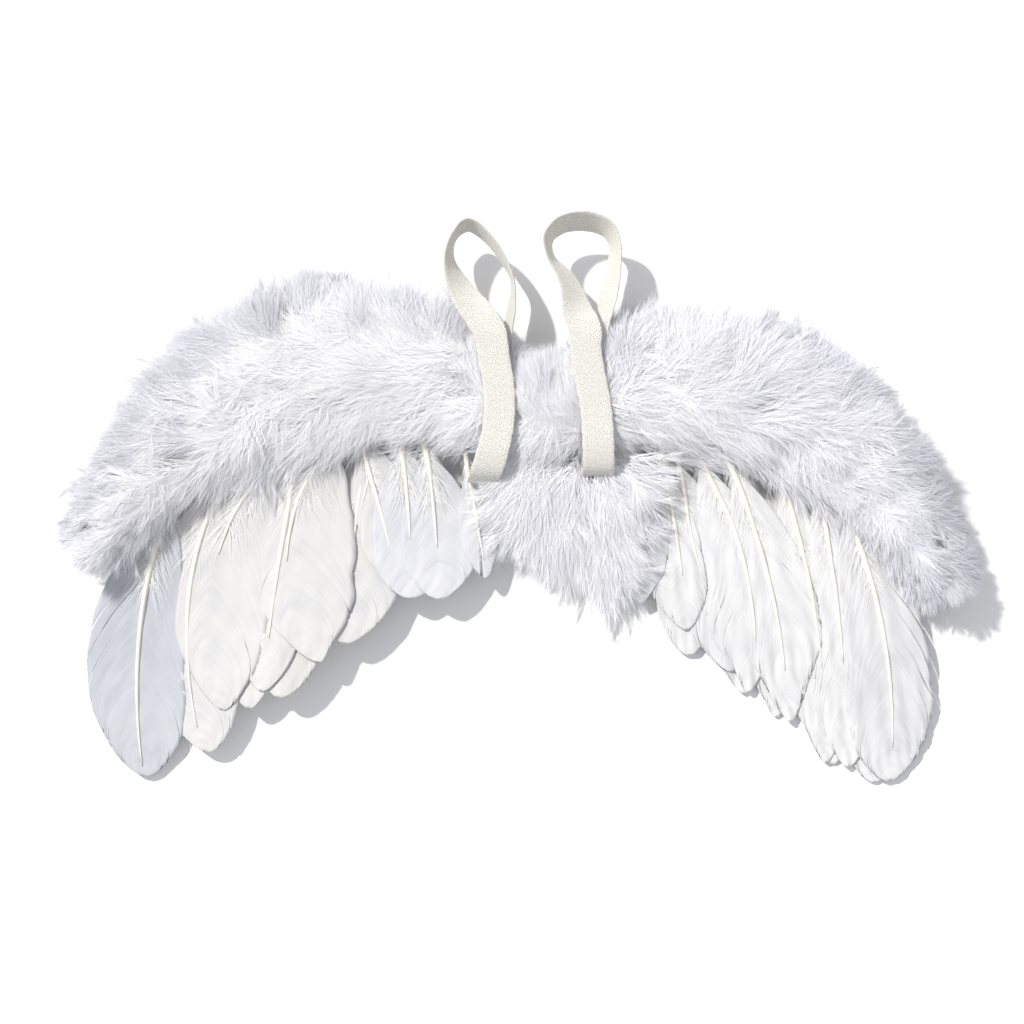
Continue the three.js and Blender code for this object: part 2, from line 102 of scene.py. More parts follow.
def curve(points, station):
    """Values and slopes of a centripetal Catmull-Rom curve at stations, which count its points from 0.

    Each span is a cubic, and the slope at a point weighs the chords about it by the square roots of their
    lengths. Columns past the third go along with the first three.
    """
    s = np.clip(np.asarray(station, float), 0, len(points) - 1 - 1e-9)
    i = s.astype(int)
    w = (s - i)[:, None]
    ends = np.vstack([2 * points[0] - points[1], points, 2 * points[-1] - points[-2]])
    p0, p1, p2, p3 = ends[i], ends[i + 1], ends[i + 2], ends[i + 3]
    spans = ((p0, p1), (p1, p2), (p2, p3))
    d0, d1, d2 = (np.sqrt(np.linalg.norm((b - a)[:, :3], axis=1))[:, None] for a, b in spans)
    t1 = ((p1 - p0) / d0 - (p2 - p0) / (d0 + d1) + (p2 - p1) / d1) * d1
    t2 = ((p2 - p1) / d1 - (p3 - p1) / (d1 + d2) + (p3 - p2) / d2) * d1
    c2 = 3 * (p2 - p1) - 2 * t1 - t2
    c3 = 2 * (p1 - p2) + t1 + t2
    return p1 + w * (t1 + w * (c2 + w * c3)), t1 + w * (2 * c2 + w * 3 * c3)


def boa_line(station):
    """The band's middle line at each station: point, half width, and the unit vector across the band."""
    point, slope = curve(STATIONS, station)
    level = 0 * point[:, 0]
    along = np.column_stack([slope[:, 0], slope[:, 1], level])
    along /= np.linalg.norm(along, axis=1)[:, None]
    across = np.column_stack([-along[:, 1], along[:, 0], level])
    return np.column_stack([point[:, 0], point[:, 1], level]), point[:, 2], across


# ---- Mesh helpers --------------------------------------------------------------------------------


def smooth(x, low, high):
    """0 below low, 1 above high and 3t^2 - 2t^3 between."""
    t = np.clip((np.asarray(x, float) - low) / (high - low), 0, 1)
    return t * t * (3 - 2 * t)


def unit(v):
    """Vectors over their own lengths."""
    return v / np.maximum(np.linalg.norm(v, axis=-1, keepdims=True), 1e-12)


def new_mesh(name, points, loops, sizes, materials, slots=None, uv=None):
    """A mesh object from arrays: points, the loops' vertex numbers and each face's number of corners."""
    mesh = bpy.data.meshes.new(name)
    mesh.vertices.add(len(points))
    mesh.vertices.foreach_set("co", np.ascontiguousarray(points, np.float32).ravel())
    mesh.loops.add(len(loops))
    mesh.loops.foreach_set("vertex_index", np.ascontiguousarray(loops, np.int32))
    mesh.polygons.add(len(sizes))
    starts = np.concatenate([[0], np.cumsum(sizes)[:-1]]).astype(np.int32)
    mesh.polygons.foreach_set("loop_start", starts)
    if slots is not None:
        mesh.polygons.foreach_set("material_index", np.ascontiguousarray(slots, np.int32))
    mesh.polygons.foreach_set("use_smooth", np.ones(len(sizes), bool))
    if uv is not None:
        layer = mesh.uv_layers.new(name="along_and_across")
        layer.data.foreach_set("uv", np.ascontiguousarray(uv[loops], np.float32).ravel())
    mesh.update(calc_edges=True)
    mesh.validate(verbose=False)
    for material in materials:
        mesh.materials.append(material)
    piece = bpy.data.objects.new(name, mesh)
    bpy.context.scene.collection.objects.link(piece)
    return piece


def join(parts):
    """Joins (points, loops, sizes, slots, uv) tuples into one."""
    shift, points, loops, sizes, slots, uvs = 0, [], [], [], [], []
    for p, l, s, m, uv in parts:
        points.append(p)
        loops.append(np.asarray(l) + shift)
        sizes.append(s)
        slots.append(m)
        uvs.append(uv)
        shift += len(p)
    return tuple(np.concatenate(each) for each in (points, loops, sizes, slots, uvs))


def grid_faces(rows, columns, keep=None, close_columns=False):
    """Quads of a rows by columns grid of points, less those that keep leaves out."""
    i, j = np.meshgrid(np.arange(rows - 1), np.arange(columns - (not close_columns)), indexing="ij")
    k = (j + 1) % columns
    quads = np.stack([i * columns + j, i * columns + k, (i + 1) * columns + k, (i + 1) * columns + j], axis=-1)
    quads = quads[keep] if keep is not None else quads.reshape(-1, 4)
    return quads.ravel(), np.full(len(quads), 4)


def ribbons(root, ahead, side, lift, length, width, bend, material):
    """Barbs as tapering ribbons of two quads and a tip.

    At share c of its length a barb stands at root + length c (ahead cos(bend (1 - c/3)) + side sin(same)) +
    length c lift (1 - c/2), and its width falls from the full one to nothing as 1 - c^1.5.
    """
    c = np.array([0.0, 0.34, 0.7, 1.0])[None, :, None]
    turn = bend[:, None, None] * (1 - c / 3)
    line = root[:, None] + length[:, None, None] * c * (
        ahead[:, None] * np.cos(turn) + side[:, None] * np.sin(turn) + lift[:, None] * (1 - 0.5 * c)
    )
    heading = unit(line[:, 3] - line[:, 0])
    facing = unit(UP + 0.4 * lift + 0.2 * side)
    wide = unit(np.cross(facing, heading))[:, None] * 0.5 * width[:, None, None]
    taper = (1 - c[:, :3] ** 1.5)
    left, right = line[:, :3] + wide * taper, line[:, :3] - wide * taper
    count = len(root)
    points = np.concatenate([left, right, line[:, 3:]], axis=1).reshape(-1, 3)
    base = 7 * np.arange(count)[:, None]
    corners = np.array([0, 3, 4, 1, 1, 4, 5, 2, 2, 5, 6])
    loops = (base + corners).ravel()
    sizes = np.tile([4, 4, 3], count)
    slots = np.repeat(material, 3)
    uv = np.tile(np.array([[0, 0], [0, 0.34], [0, 0.7], [1, 0], [1, 0.34], [1, 0.7], [0.5, 1]]), (count, 1))
    return points, loops, sizes, slots, uv


def rods(line, radius, slot, sides=5):
    """Tapering closed rods: a ring of sides round each point of each line, shut by a point at each end.

    line is rods by points by 3 and radius is rods by points. A ring lies across the line, level side first.
    """
    rods_n, steps = line.shape[:2]
    heading = unit(np.gradient(line, axis=1))
    level = unit(np.cross(UP, heading))
    rise = np.cross(heading, level)
    turn = 2 * np.pi * np.arange(sides) / sides
    outward = level[:, :, None] * np.cos(turn)[:, None] + rise[:, :, None] * np.sin(turn)[:, None]
    ring = line[:, :, None] + radius[:, :, None, None] * outward
    body = ring.reshape(rods_n, -1, 3)
    points = np.concatenate([body, line[:, :1], line[:, -1:]], axis=1).reshape(-1, 3)
    loops, _ = grid_faces(steps, sides, close_columns=True)
    quads = loops.reshape(-1, 4)
    each = steps * sides + 2
    k = np.arange(sides)
    first = np.column_stack([np.full(sides, each - 2), (k + 1) % sides, k])
    start = (steps - 1) * sides
    last = np.column_stack([np.full(sides, each - 1), start + k, start + (k + 1) % sides])
    offsets = each * np.arange(rods_n)[:, None]
    per = np.concatenate([quads.ravel(), first.ravel(), last.ravel()])
    loops = (offsets + per).ravel()
    sizes = np.tile(np.concatenate([np.full(len(quads), 4), np.full(2 * sides, 3)]), rods_n)
    uv = np.tile(
        np.concatenate([
            np.column_stack([np.tile(k / sides, steps), np.repeat(np.linspace(0, 1, steps), sides)]),
            [[0.5, 0], [0.5, 1]],
        ]),
        (rods_n, 1),
    )
    return points, loops, sizes, np.full(len(sizes), slot), uv


# ---- Materials -----------------------------------------------------------------------------------


class Recipe:
    """A material's node tree, with one Principled shader, put together a node at a time."""

    def __init__(self, name, colour, roughness, sheen=0.0):
        """A plain material: colour, roughness and sheen set directly on the shader."""
        self.material = bpy.data.materials.new(name)
        self.material.use_nodes = True
        self.tree = self.material.node_tree
        self.shader = self.tree.nodes["Principled BSDF"]
        self.shader.inputs["Base Color"].default_value = (*colour, 1)
        self.shader.inputs["Roughness"].default_value = roughness
        self.shader.inputs["Sheen Weight"].default_value = sheen
        self.shader.inputs["Sheen Roughness"].default_value = 0.5
        self.shader.inputs["Specular IOR Level"].default_value = 0.3
        self.material.diffuse_color = (*colour, 1)

    def node(self, kind, **choices):
        """A new node, with its choices, such as a Math node's operation, set."""
        node = self.tree.nodes.new("ShaderNode" + kind)
        for key, value in choices.items():
            setattr(node, key, value)
        return node

    def link(self, source, target):
        """Joins an output to an input."""
        self.tree.links.new(source, target)

    def scaled(self, source, scale):
        """A place times a scale on each axis."""
        mapping = self.node("Mapping")
        mapping.inputs["Scale"].default_value = scale
        self.link(source, mapping.inputs["Vector"])
        return mapping.outputs["Vector"]

    def object_place(self, scale=(1, 1, 1)):
        """Object coordinates times a scale on each axis."""
        return self.scaled(self.node("TexCoord").outputs["Object"], scale)

    def surface_place(self, scale=(1, 1, 1)):
        """The piece's own UV map times a scale on each axis."""
        return self.scaled(self.node("UVMap", uv_map="along_and_across").outputs["UV"], scale)

    def noise(self, place, scale, detail=2.0, roughness=0.5):
        """Noise from 0 to 1 at a place."""
        node = self.node("TexNoise")
        node.inputs["Scale"].default_value = scale
        node.inputs["Detail"].default_value = detail
        node.inputs["Roughness"].default_value = roughness
        self.link(place, node.inputs["Vector"])
        return node.outputs["Fac"]

    def maths(self, operation, first, second=0.0):
        """The result of a sum on two outputs or numbers."""
        node = self.node("Math", operation=operation)
        for socket, value in zip(node.inputs, (first, second)):
            if isinstance(value, bpy.types.NodeSocket):
                self.link(value, socket)
            else:
                socket.default_value = value
        return node.outputs["Value"]

    def ramp(self, factor, stops):
        """Colours by position, from (position, colour) stops."""
        node = self.node("ValToRGB")
        elements = node.color_ramp.elements
        while len(elements) < len(stops):
            elements.new(0.5)
        for element, (position, colour) in zip(elements, stops):
            element.position = position
            element.color = (*colour, 1)
        self.link(factor, node.inputs["Fac"])
        return node.outputs["Color"]

    def colour_from(self, source):
        """Takes the base colour from an output."""
        self.link(source, self.shader.inputs["Base Color"])

    def roughness_from(self, source, low, high):
        """Takes the roughness from an output, 0 to 1 spread from low to high."""
        node = self.node("MapRange")
        node.inputs["To Min"].default_value = low
        node.inputs["To Max"].default_value = high
        self.link(source, node.inputs["Value"])
        self.link(node.outputs["Result"], self.shader.inputs["Roughness"])

    def bump_from(self, source, strength, distance):
        """Takes the bump from an output."""
        node = self.node("Bump")
        node.inputs["Strength"].default_value = strength
        node.inputs["Distance"].default_value = distance
        self.link(source, node.inputs["Height"])
        self.link(node.outputs["Normal"], self.shader.inputs["Normal"])


def marabou_materials(settings):
    """Barb tones: white, and cool white, lavender and grey as ever darker copies of it that paint shade, and
    cream for the plumes' shafts.
    """
    white = np.array(settings.barb_colour)
    tones = (("marabou_white", white), ("marabou_cool", white * (0.92, 0.92, 0.945)),
             ("marabou_painted_shade_lavender", white * (0.80, 0.80, 0.84)), ("marabou_painted_shade_grey", white * (0.66, 0.66, 0.70)),
             ("marabou_shaft", np.array((0.86, 0.83, 0.74))))
    return [Recipe(name, tuple(np.clip(colour, 0, 1)), 0.85, sheen=0.25).material for name, colour in tones]


def down_material(settings):
    """Packed down under the barbs: white with fine cool flecks, and a matted fibre bump."""
    recipe = Recipe("marabou_down", tuple(settings.barb_colour), 0.95, sheen=0.3)
    place = recipe.object_place()
    matted = recipe.noise(place, 900, detail=5, roughness=0.7)
    recipe.colour_from(recipe.ramp(matted, [(0.3, (0.82, 0.82, 0.88)), (0.6, tuple(settings.barb_colour))]))
    recipe.bump_from(recipe.noise(place, 1400, detail=4, roughness=0.7), 0.6, 0.0006)
    return recipe.material


def vane_material(name, settings, tint):
    """Satin vane: fine lines along the barbs, from noise drawn out along them, and broad faint clouds."""
    recipe = Recipe(name, tuple(settings.vane_colour), 0.55, sheen=0.15)
    lines = recipe.noise(recipe.surface_place((1300, 1.6, 1)), 1.0, detail=3, roughness=0.65)
    locks = recipe.noise(recipe.surface_place((330, 1.2, 1)), 1.0, detail=2)
    clouds = recipe.noise(recipe.object_place(), 45, detail=2)
    blend = recipe.maths("ADD", recipe.maths("MULTIPLY", lines, 0.35), recipe.maths("MULTIPLY", locks, 0.3))
    blend = recipe.maths("ADD", blend, recipe.maths("MULTIPLY", clouds, 0.35))
    white = np.array(settings.vane_colour) * tint
    recipe.colour_from(recipe.ramp(blend, [
        (0.34, tuple(white * (0.87, 0.875, 0.92))), (0.5, tuple(white)),
        (0.66, tuple(np.minimum(white * 1.05, 1))),
    ]))
    recipe.roughness_from(lines, 0.45, 0.7)
    recipe.bump_from(recipe.maths("ADD", lines, recipe.maths("MULTIPLY", locks, 1.4)), 0.3, 0.0003)
    return recipe.material


def shaft_material():
    """Cream horn: faint lengthwise streaks, a little glossy."""
    recipe = Recipe("feather_shaft", (0.87, 0.85, 0.76), 0.35)
    streaks = recipe.noise(recipe.surface_place((9, 3, 1)), 1.0, detail=2)
    recipe.colour_from(recipe.ramp(streaks, [(0.3, (0.82, 0.79, 0.68)), (0.65, (0.92, 0.905, 0.84))]))
    recipe.roughness_from(streaks, 0.28, 0.45)
    recipe.bump_from(streaks, 0.2, 0.0002)
    return recipe.material


def elastic_material(settings):
    """Knitted elastic: rows of small stitches between lengthwise ribs, with painted shade in the pits, painted
    highlight on the raised stitches, and odd flecks.
    """
    colour = np.array(settings.elastic_colour)
    recipe = Recipe("knitted_elastic", tuple(colour), 0.85, sheen=0.2)
    place = recipe.surface_place()
    split = recipe.node("SeparateXYZ")
    recipe.link(place, split.inputs["Vector"])
    across = recipe.maths("SINE", recipe.maths("MULTIPLY", split.outputs["X"], 2 * np.pi / 0.00175))
    rows = recipe.maths("SINE", recipe.maths("MULTIPLY", split.outputs["Y"], 2 * np.pi / 0.0011))
    stitches = recipe.maths("MULTIPLY", across, rows)
    flecks = recipe.noise(recipe.surface_place((1400, 900, 1)), 1.0, detail=2, roughness=0.6)
    height = recipe.maths("ADD", recipe.maths("MULTIPLY", stitches, 0.3), flecks)
    # painted shade and highlight: low stitch heights (pits) take a darker colour and raised stitches a lighter
    # one, mixed with the random flecks
    recipe.colour_from(recipe.ramp(height, [
        (0.22, tuple(colour * (0.66, 0.63, 0.56))), (0.45, tuple(colour * 0.93)),
        (0.7, tuple(np.minimum(colour * 1.07, 1))),
    ]))
    recipe.bump_from(height, 0.7, 0.0005)
    return recipe.material


def felt_material():
    """Pressed felt: tangled fibre bump and faint grey flecks."""
    recipe = Recipe("white_felt", (0.86, 0.86, 0.85), 0.95, sheen=0.2)
    fibres = recipe.noise(recipe.object_place(), 1100, detail=5, roughness=0.75)
    recipe.colour_from(recipe.ramp(fibres, [(0.35, (0.76, 0.76, 0.76)), (0.6, (0.88, 0.88, 0.87))]))
    recipe.bump_from(fibres, 0.8, 0.0005)
    return recipe.material


def thread_material():
    """Twisted cotton: slanting plies, from a wave across the strand."""
    recipe = Recipe("cotton_thread", (0.8, 0.77, 0.68), 0.8, sheen=0.2)
    wave = recipe.node("TexWave")
    wave.inputs["Scale"].default_value = 420
    wave.inputs["Distortion"].default_value = 1.5
    recipe.link(recipe.object_place(), wave.inputs["Vector"])
    recipe.colour_from(recipe.ramp(wave.outputs["Fac"], [(0.2, (0.68, 0.64, 0.54)), (0.8, (0.84, 0.81, 0.72))]))
    recipe.bump_from(wave.outputs["Fac"], 0.6, 0.0003)
    return recipe.material


def wire_material():
    """Drawn steel wire: thin lengthwise scratches."""
    recipe = Recipe("drawn_wire", (0.6, 0.6, 0.62), 0.3)
    recipe.shader.inputs["Metallic"].default_value = 1
    scratches = recipe.noise(recipe.object_place((200, 900, 900)), 1.0, detail=3)
    recipe.roughness_from(scratches, 0.2, 0.45)
    recipe.bump_from(scratches, 0.2, 0.0001)
    return recipe.material


def floor_material(settings):
    """Pale matt board with a faint grain."""
    recipe = Recipe("pale_floor", tuple(settings.floor_colour), 0.9)
    grain = recipe.noise(recipe.object_place(), 60, detail=4)
    colour = np.array(settings.floor_colour)
    recipe.colour_from(recipe.ramp(grain, [(0.3, tuple(colour * 0.985)), (0.7, tuple(colour))]))
    return recipe.material


# ---- Marabou band --------------------------------------------------------------------------------

# Which way the barbs lie: places in millimetres and degrees from +X, turning towards +Y.
BARB_FLOW = np.array([
    [-44, 63, 100], [-93, 71, 85], [-121, 65, 95], [-161, 48, 140], [-176, 28, 160], [-182, 8, 185],
    [-202, -18, 185], [-213, -38, 195], [-211, -64, 225], [-133, 42, 155], [-147, 19, 185], [-104, 28, 178],
    [-75, 36, 165], [-58, 28, 180], [-104, 8, 205], [-75, -1, 215], [-48, 0, 200], [-133, -9, 228],
    [-161, -15, 222], [-190, -35, 205], [-35, -18, 240],
    [-8, 27, 100], [-17, 40, 95], [6, 13, 120], [-1, -9, 240], [6, -45, 285], [-12, -40, 268], [24, -58, 300],
    [28, -22, 302],
    [24, 45, 80], [40, 62, 92], [74, 62, 85], [103, 54, 55], [132, 48, 42], [149, 31, 30], [161, 11, 12],
    [175, -15, 2], [189, -38, -8], [195, -67, -38], [187, -76, -60], [45, 42, 40], [60, 28, 10], [89, 34, 25],
    [117, 19, 0], [89, 11, -12], [45, -1, -10], [132, -9, -28], [146, -30, -42], [166, -44, -45], [89, -7, -38],
    [117, -18, -45], [159, -63, -60], [64, -13, -40],
])
FLOW_REACH = 13 * MM  # how far a place in the table carries
TRAILING_SHARE = np.array([
    0.7, 0.72, 0.63, 0.86, 1.0, 1.02, 1.08, 1.26, 1.06, 1.0, 1.0, 1.1, 1.06, 1.0, 0.93, 0.84, 0.78, 0.7, 0.6,
])  # how much of the half width the plumes fill on the trailing side, at each station
# How far they pass the leading edge, by station.
LEADING_SPARE = ([1, 3, 4, 6.5, 8, LAST], [0.003, 0.007, 0.009, 0.008, 0.003, 0.003])
LAID_ON_FEATHERS = 0.0150  # height of the lowest barbs that lie over the feathers
UNDER_STRAPS = 0.0287  # the highest that barbs stand under a strap
LOWEST = 0.0006  # barbs and vanes stay this far over the floor
SHAFT_POINTS = np.linspace(0, 1, 6)  # shares of a plume's length at which its shaft has points
SHADE_TONE_STEPS = np.array([0.965, 0.86, 0.73])  # painted shade: lightness below which the barbs step to darker, shaded tones
TOP_SHARE = 0.62  # of the tufts of plumes lie on top of the band, the others at its sides


def barb_flow(place):
    """Unit direction at each place: the table's ones averaged, weighed by exp(-distance^2 / 2 reach^2)."""
    spot = BARB_FLOW[:, :2] * MM
    turn = np.radians(BARB_FLOW[:, 2])
    away = np.linalg.norm(place[:, None, :2] - spot[None], axis=2) / FLOW_REACH
    weight = np.exp(-0.5 * np.minimum(away, 8) ** 2) + 1e-9
    return unit(np.column_stack([weight @ np.cos(turn), weight @ np.sin(turn), 0 * place[:, 0]]))


def turned(flow, angle):
    """Level unit vectors turned about the vertical by each one's angle."""
    c, n = np.cos(angle), np.sin(angle)
    return np.column_stack([flow[:, 0] * c - flow[:, 1] * n, flow[:, 0] * n + flow[:, 1] * c, 0 * angle])


def band_crown(half):
    """The band's height: TIP_CROWN where it is thin, CROWN from FULL_HALF on."""
    return TIP_CROWN + (CROWN - TIP_CROWN) * np.clip(half / FULL_HALF, 0, 1)


def band_height(share, half, level):
    """Height at a share of the half width: level 1 is the top of the band, -1 its flat underside.

    The top falls from the crown to the waist at the leading edge, and to the feathers' top at the trailing one.
    """
    crown = band_crown(half)
    waist = WAIST_SHARE * crown
    dome = np.maximum(1 - np.clip(np.abs(share), 0, 1) ** 2, 0)
    laid = np.minimum(LAID_ON_FEATHERS, crown - 0.001)
    top = np.where(share > 0, waist + (crown - waist) * dome ** 0.5, laid + (crown - laid) * dome ** 1.1)
    bottom = waist - (waist - 0.0012) * dome ** 0.3
    return np.where(level > 0, waist + (top - waist) * level, waist + (waist - bottom) * level)


def lumps(x, y):
    """Soft rises and hollows over the band, up to about 1.3 mm, from three slow crossing waves."""
    slow, middle = np.sin(170 * x + 90 * y), np.sin(250 * y - 140 * x + 1.3)
    return 0.0006 * slow + 0.0004 * middle + 0.0003 * np.sin(420 * x + 330 * y)


def barbs_on(rng, shaft, reach, level, light, barbs, settings):
    """Barbs along both sides of the plumes' shafts, and the few shafts that show.

    A barb leaves its shaft at an angle that closes from 40 to 12 degrees towards the plume's tip. Light is each
    plume's lightness of painted shade, 1 for pure white, and its barbs take the tones on either side of it,
    with a little random spread.
    """
    count, last = len(shaft), shaft.shape[1] - 1
    t = np.tile(np.linspace(0.06, 1, barbs), (count, 1)) + rng.uniform(-0.02, 0.02, (count, barbs))
    t = np.clip(t, 0.02, 0.999)
    k = t * last
    i = np.minimum(k.astype(int), last - 1)
    w = (k - i)[..., None]
    rows = np.arange(count)[:, None]
    start = shaft[rows, i] * (1 - w) + shaft[rows, i + 1] * w
    heading = unit(shaft[rows, i + 1] - shaft[rows, i])
    hand = np.where(rng.uniform(size=(count, barbs)) < 0.5, -1.0, 1.0)
    sideways = unit(np.cross(UP, heading)) * hand[..., None]
    upward = rng.normal(0.03, 0.1, (count, barbs)) * np.where(level > 0, 1, 0.5)[:, None]
    angle = np.radians(40 - 28 * t) * rng.uniform(0.4, 1.3, (count, barbs))
    size = 0.32 + 0.34 * np.sin(np.pi * np.clip(t + 0.1, 0, 1))
    length = reach[:, None] * size * rng.uniform(0.6, 1.3, (count, barbs))
    width = settings.barb_width * rng.uniform(0.7, 1.3, (count, barbs))
    # painted shade: the plume's shaded lightness, spread at random per plume and per barb, picks each barb's
    # tone
    lightness = light[:, None] + rng.normal(0, 0.05, (count, 1)) + rng.normal(0, 0.03, (count, barbs))
    tone = (lightness[..., None] < SHADE_TONE_STEPS).sum(axis=2)
    lift = upward[..., None] * UP
    ribbon = (start, heading, sideways, lift, length, width, angle, tone)
    fluff = ribbons(*(each.reshape(-1, *each.shape[2:]) for each in ribbon))
    points = fluff[0]
    points[:, 2] = np.maximum(points[:, 2], LOWEST)
    points[:, 2] = np.where(under_strap(points), np.minimum(points[:, 2], UNDER_STRAPS), points[:, 2])
    shown = (level > 0.9) & (rng.uniform(size=count) < 0.12)
    radius = 0.00022 * (1 - 0.8 * np.linspace(0, 1, last + 1))[None] * rng.uniform(0.7, 1.3, (shown.sum(), 1))
    return join([fluff, rods(shaft[shown], radius, len(SHADE_TONE_STEPS) + 1, sides=3)])


def painted_shade_at(tip, share):
    """Painted shade of the plumes, as a lightness: nearly 1 inside the band, darker at its edges, its ends,
    near the middle and most on the right end, which turns from the sun.
    """
    x = tip[:, 0]
    leading = 0.2 + 0.12 * smooth(-x, 0.08, 0.14)
    edge = np.where(share > 0, leading * smooth(share, 0.5, 1.0), 0.06 * smooth(-share, 0.7, 1.1))
    right = 0.10 * smooth(x, 0.05, 0.14) + 0.18 * smooth(x, 0.15, 0.185)
    return 0.99 - edge - right - 0.05 * smooth(-np.abs(x), -0.06, -0.02) - 0.06 * smooth(-x, 0.16, 0.2)


def under_strap(points):
    """True where a strap's front strand lies over the band."""
    x, y = points[:, 0], points[:, 1]
    left = np.interp(y, [-0.02, 0.0, 0.04, 0.06], [-0.027, -0.0235, -0.0238, -0.034])
    right = np.interp(y, [-0.02, 0.0, 0.03, 0.05], [0.0226, 0.0225, 0.0180, 0.0165])
    beside = (np.abs(x - left) < 0.0085) | (np.abs(x - right) < 0.0085)
    return beside & (y > -0.023) & (y < 0.055)


def plume_shafts(rng, root, flow, reach):
    """Shafts as arcs: from root along flow, turning steadily by a small swerve."""
    swerve = rng.normal(0, 0.2, len(root))[:, None] * SHAFT_POINTS
    left_of = np.cross(UP, flow)
    run = (reach[:, None] * SHAFT_POINTS)[..., None]
    turned_flow = flow[:, None] * np.cos(swerve)[..., None] + left_of[:, None] * np.sin(swerve)[..., None]
    return root[:, None] + run * turned_flow


def plumes(rng, count, low, high, barbs, settings):
    """Marabou plumes on the band between two stations, in tufts of about seven that lie the same way.

    A tuft's middle is a random place over the band, or beside it for those below the top. Its plumes follow
    the barb flow there, turned by some 17 degrees together and 10 more each.
    """
    tufts = max(count // 7, 1)
    s = rng.uniform(low, high, 6 * tufts)
    half = boa_line(s)[1]
    s = s[rng.uniform(0, 0.042, len(s)) < half][:tufts]
    own = rng.integers(0, len(s), count)
    on_top = rng.uniform(0, 1, len(s)) < TOP_SHARE
    level = np.where(on_top[own], rng.uniform(0.84, 1.02, count), rng.uniform(-0.95, 0.7, count))
    side = rng.uniform(-1, 1, len(s))
    side = np.where(on_top, side, np.sign(side) * (0.5 + 0.5 * np.abs(side)))[own] + rng.normal(0, 0.1, count)
    turn = rng.normal(0, 0.3, len(s))[own] + rng.normal(0, 0.18, count)
    pile = rng.normal(0, 0.0006, len(s))[own]
    size = rng.uniform(0.75, 1.15, len(s))[own]
    s = np.clip(s[own] + rng.normal(0, 0.08, count), low, high)
    side = np.clip(side, -1, 1)
    place, half, across = boa_line(s)
    reach = settings.plume_length * size * rng.uniform(0.85, 1.1, count) * np.clip(half / 0.034, 0.6, 1)
    flow = barb_flow(place + (0.9 * side * half)[:, None] * across)
    spread = (0.7 * np.sign(side) * np.clip(np.abs(side) - 0.5, 0, 1))[:, None]
    flow = turned(unit(flow + spread * across), turn)
    out = np.einsum("ij,ij->i", flow, across) * np.sign(side)
    trailing = half * np.interp(s, np.arange(LAST + 1), TRAILING_SHARE)
    edge = np.where(side > 0, half + np.interp(s, *LEADING_SPARE), trailing)
    room = edge - reach * np.where(out > 0, 0.8 * out, -0.5 * out)
    middle = place + (side * np.maximum(room, 0.1 * half))[:, None] * across
    steps = SHAFT_POINTS
    shaft = plume_shafts(rng, middle - 0.5 * reach[:, None] * flow, flow, reach)
    share = np.einsum("ijk,ik->ij", shaft - place[:, None], across)
    share = share / np.where(share > 0, half[:, None], trailing[:, None])
    level = level[:, None] * (1 - 0.07 * (1 - steps))
    arch = 0.0011 * np.sin(np.pi * steps) * rng.uniform(0.1, 1, count)[:, None]
    top = (arch + pile[:, None] + lumps(shaft[..., 0], shaft[..., 1])) * (level > 0)
    droop = 0.003 * np.clip(share - 1, 0, 1)
    shaft[..., 2] = np.maximum(band_height(share, half[:, None], level) + top - droop, 0.001)
    # painted shade: plumes get darker tones at the band's edges, ends, middle and right end
    return barbs_on(rng, shaft, reach, level[:, -1], painted_shade_at(shaft[:, -1], share[:, -1]), barbs, settings)


BAND_SEED, TUFT_SEED = 700, 799
# name: (first station, last station, share of the plumes)
BAND_PIECES = {
    "left_marabou_4": (0.7, 2.3, 0.95), "left_marabou_3": (2.3, 4.0, 1.0), "left_marabou_2": (4.0, 5.5, 1.0),
    "left_marabou_1": (5.5, LEFT_FOLD, 1.0),
    "centre_marabou_left": (LEFT_FOLD, MIDDLE, 0.9), "centre_marabou_right": (MIDDLE, RIGHT_FOLD, 0.9),
    "right_marabou_1": (RIGHT_FOLD, 12.4, 1.0), "right_marabou_2": (12.4, 14.0, 1.0),
    "right_marabou_3": (14.0, 15.7, 1.0), "right_marabou_4": (15.7, 17.2, 0.95),
}


def body_for(name):
    """The body that a piece rides on, from the first word of its name."""
    side = name.split("_")[0]
    return side if side == "centre" else side + "_wing"


def fold_line(side):
    """A point on a fold and the unit vector that points out of it, away from the centre."""
    x, lean = ((-0.048, 8.7), (0.039, 9.5))[side == "right"]
    sign = -1 if side == "left" else 1
    return np.array([x, 0, 0.00875]), np.array([sign * np.cos(np.radians(lean)), -np.sin(np.radians(lean)), 0])


BESIDE_FOLDS = {"centre_marabou_left": "left", "left_marabou_1": "left",
                "centre_marabou_right": "right", "right_marabou_1": "right", "centre_tuft": "right"}


def attach(piece, name):
    """Rides the piece on its wing; a piece that lies beside a fold is left on no body, with its place baked
    into its mesh.
    """
    if name in BESIDE_FOLDS:
        side = BESIDE_FOLDS[name]
        point, out = fold_line(side)
        point = point + np.array([0, 0.02, 0])
        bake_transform(piece)
    else:
        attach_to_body(piece, body_for(name))


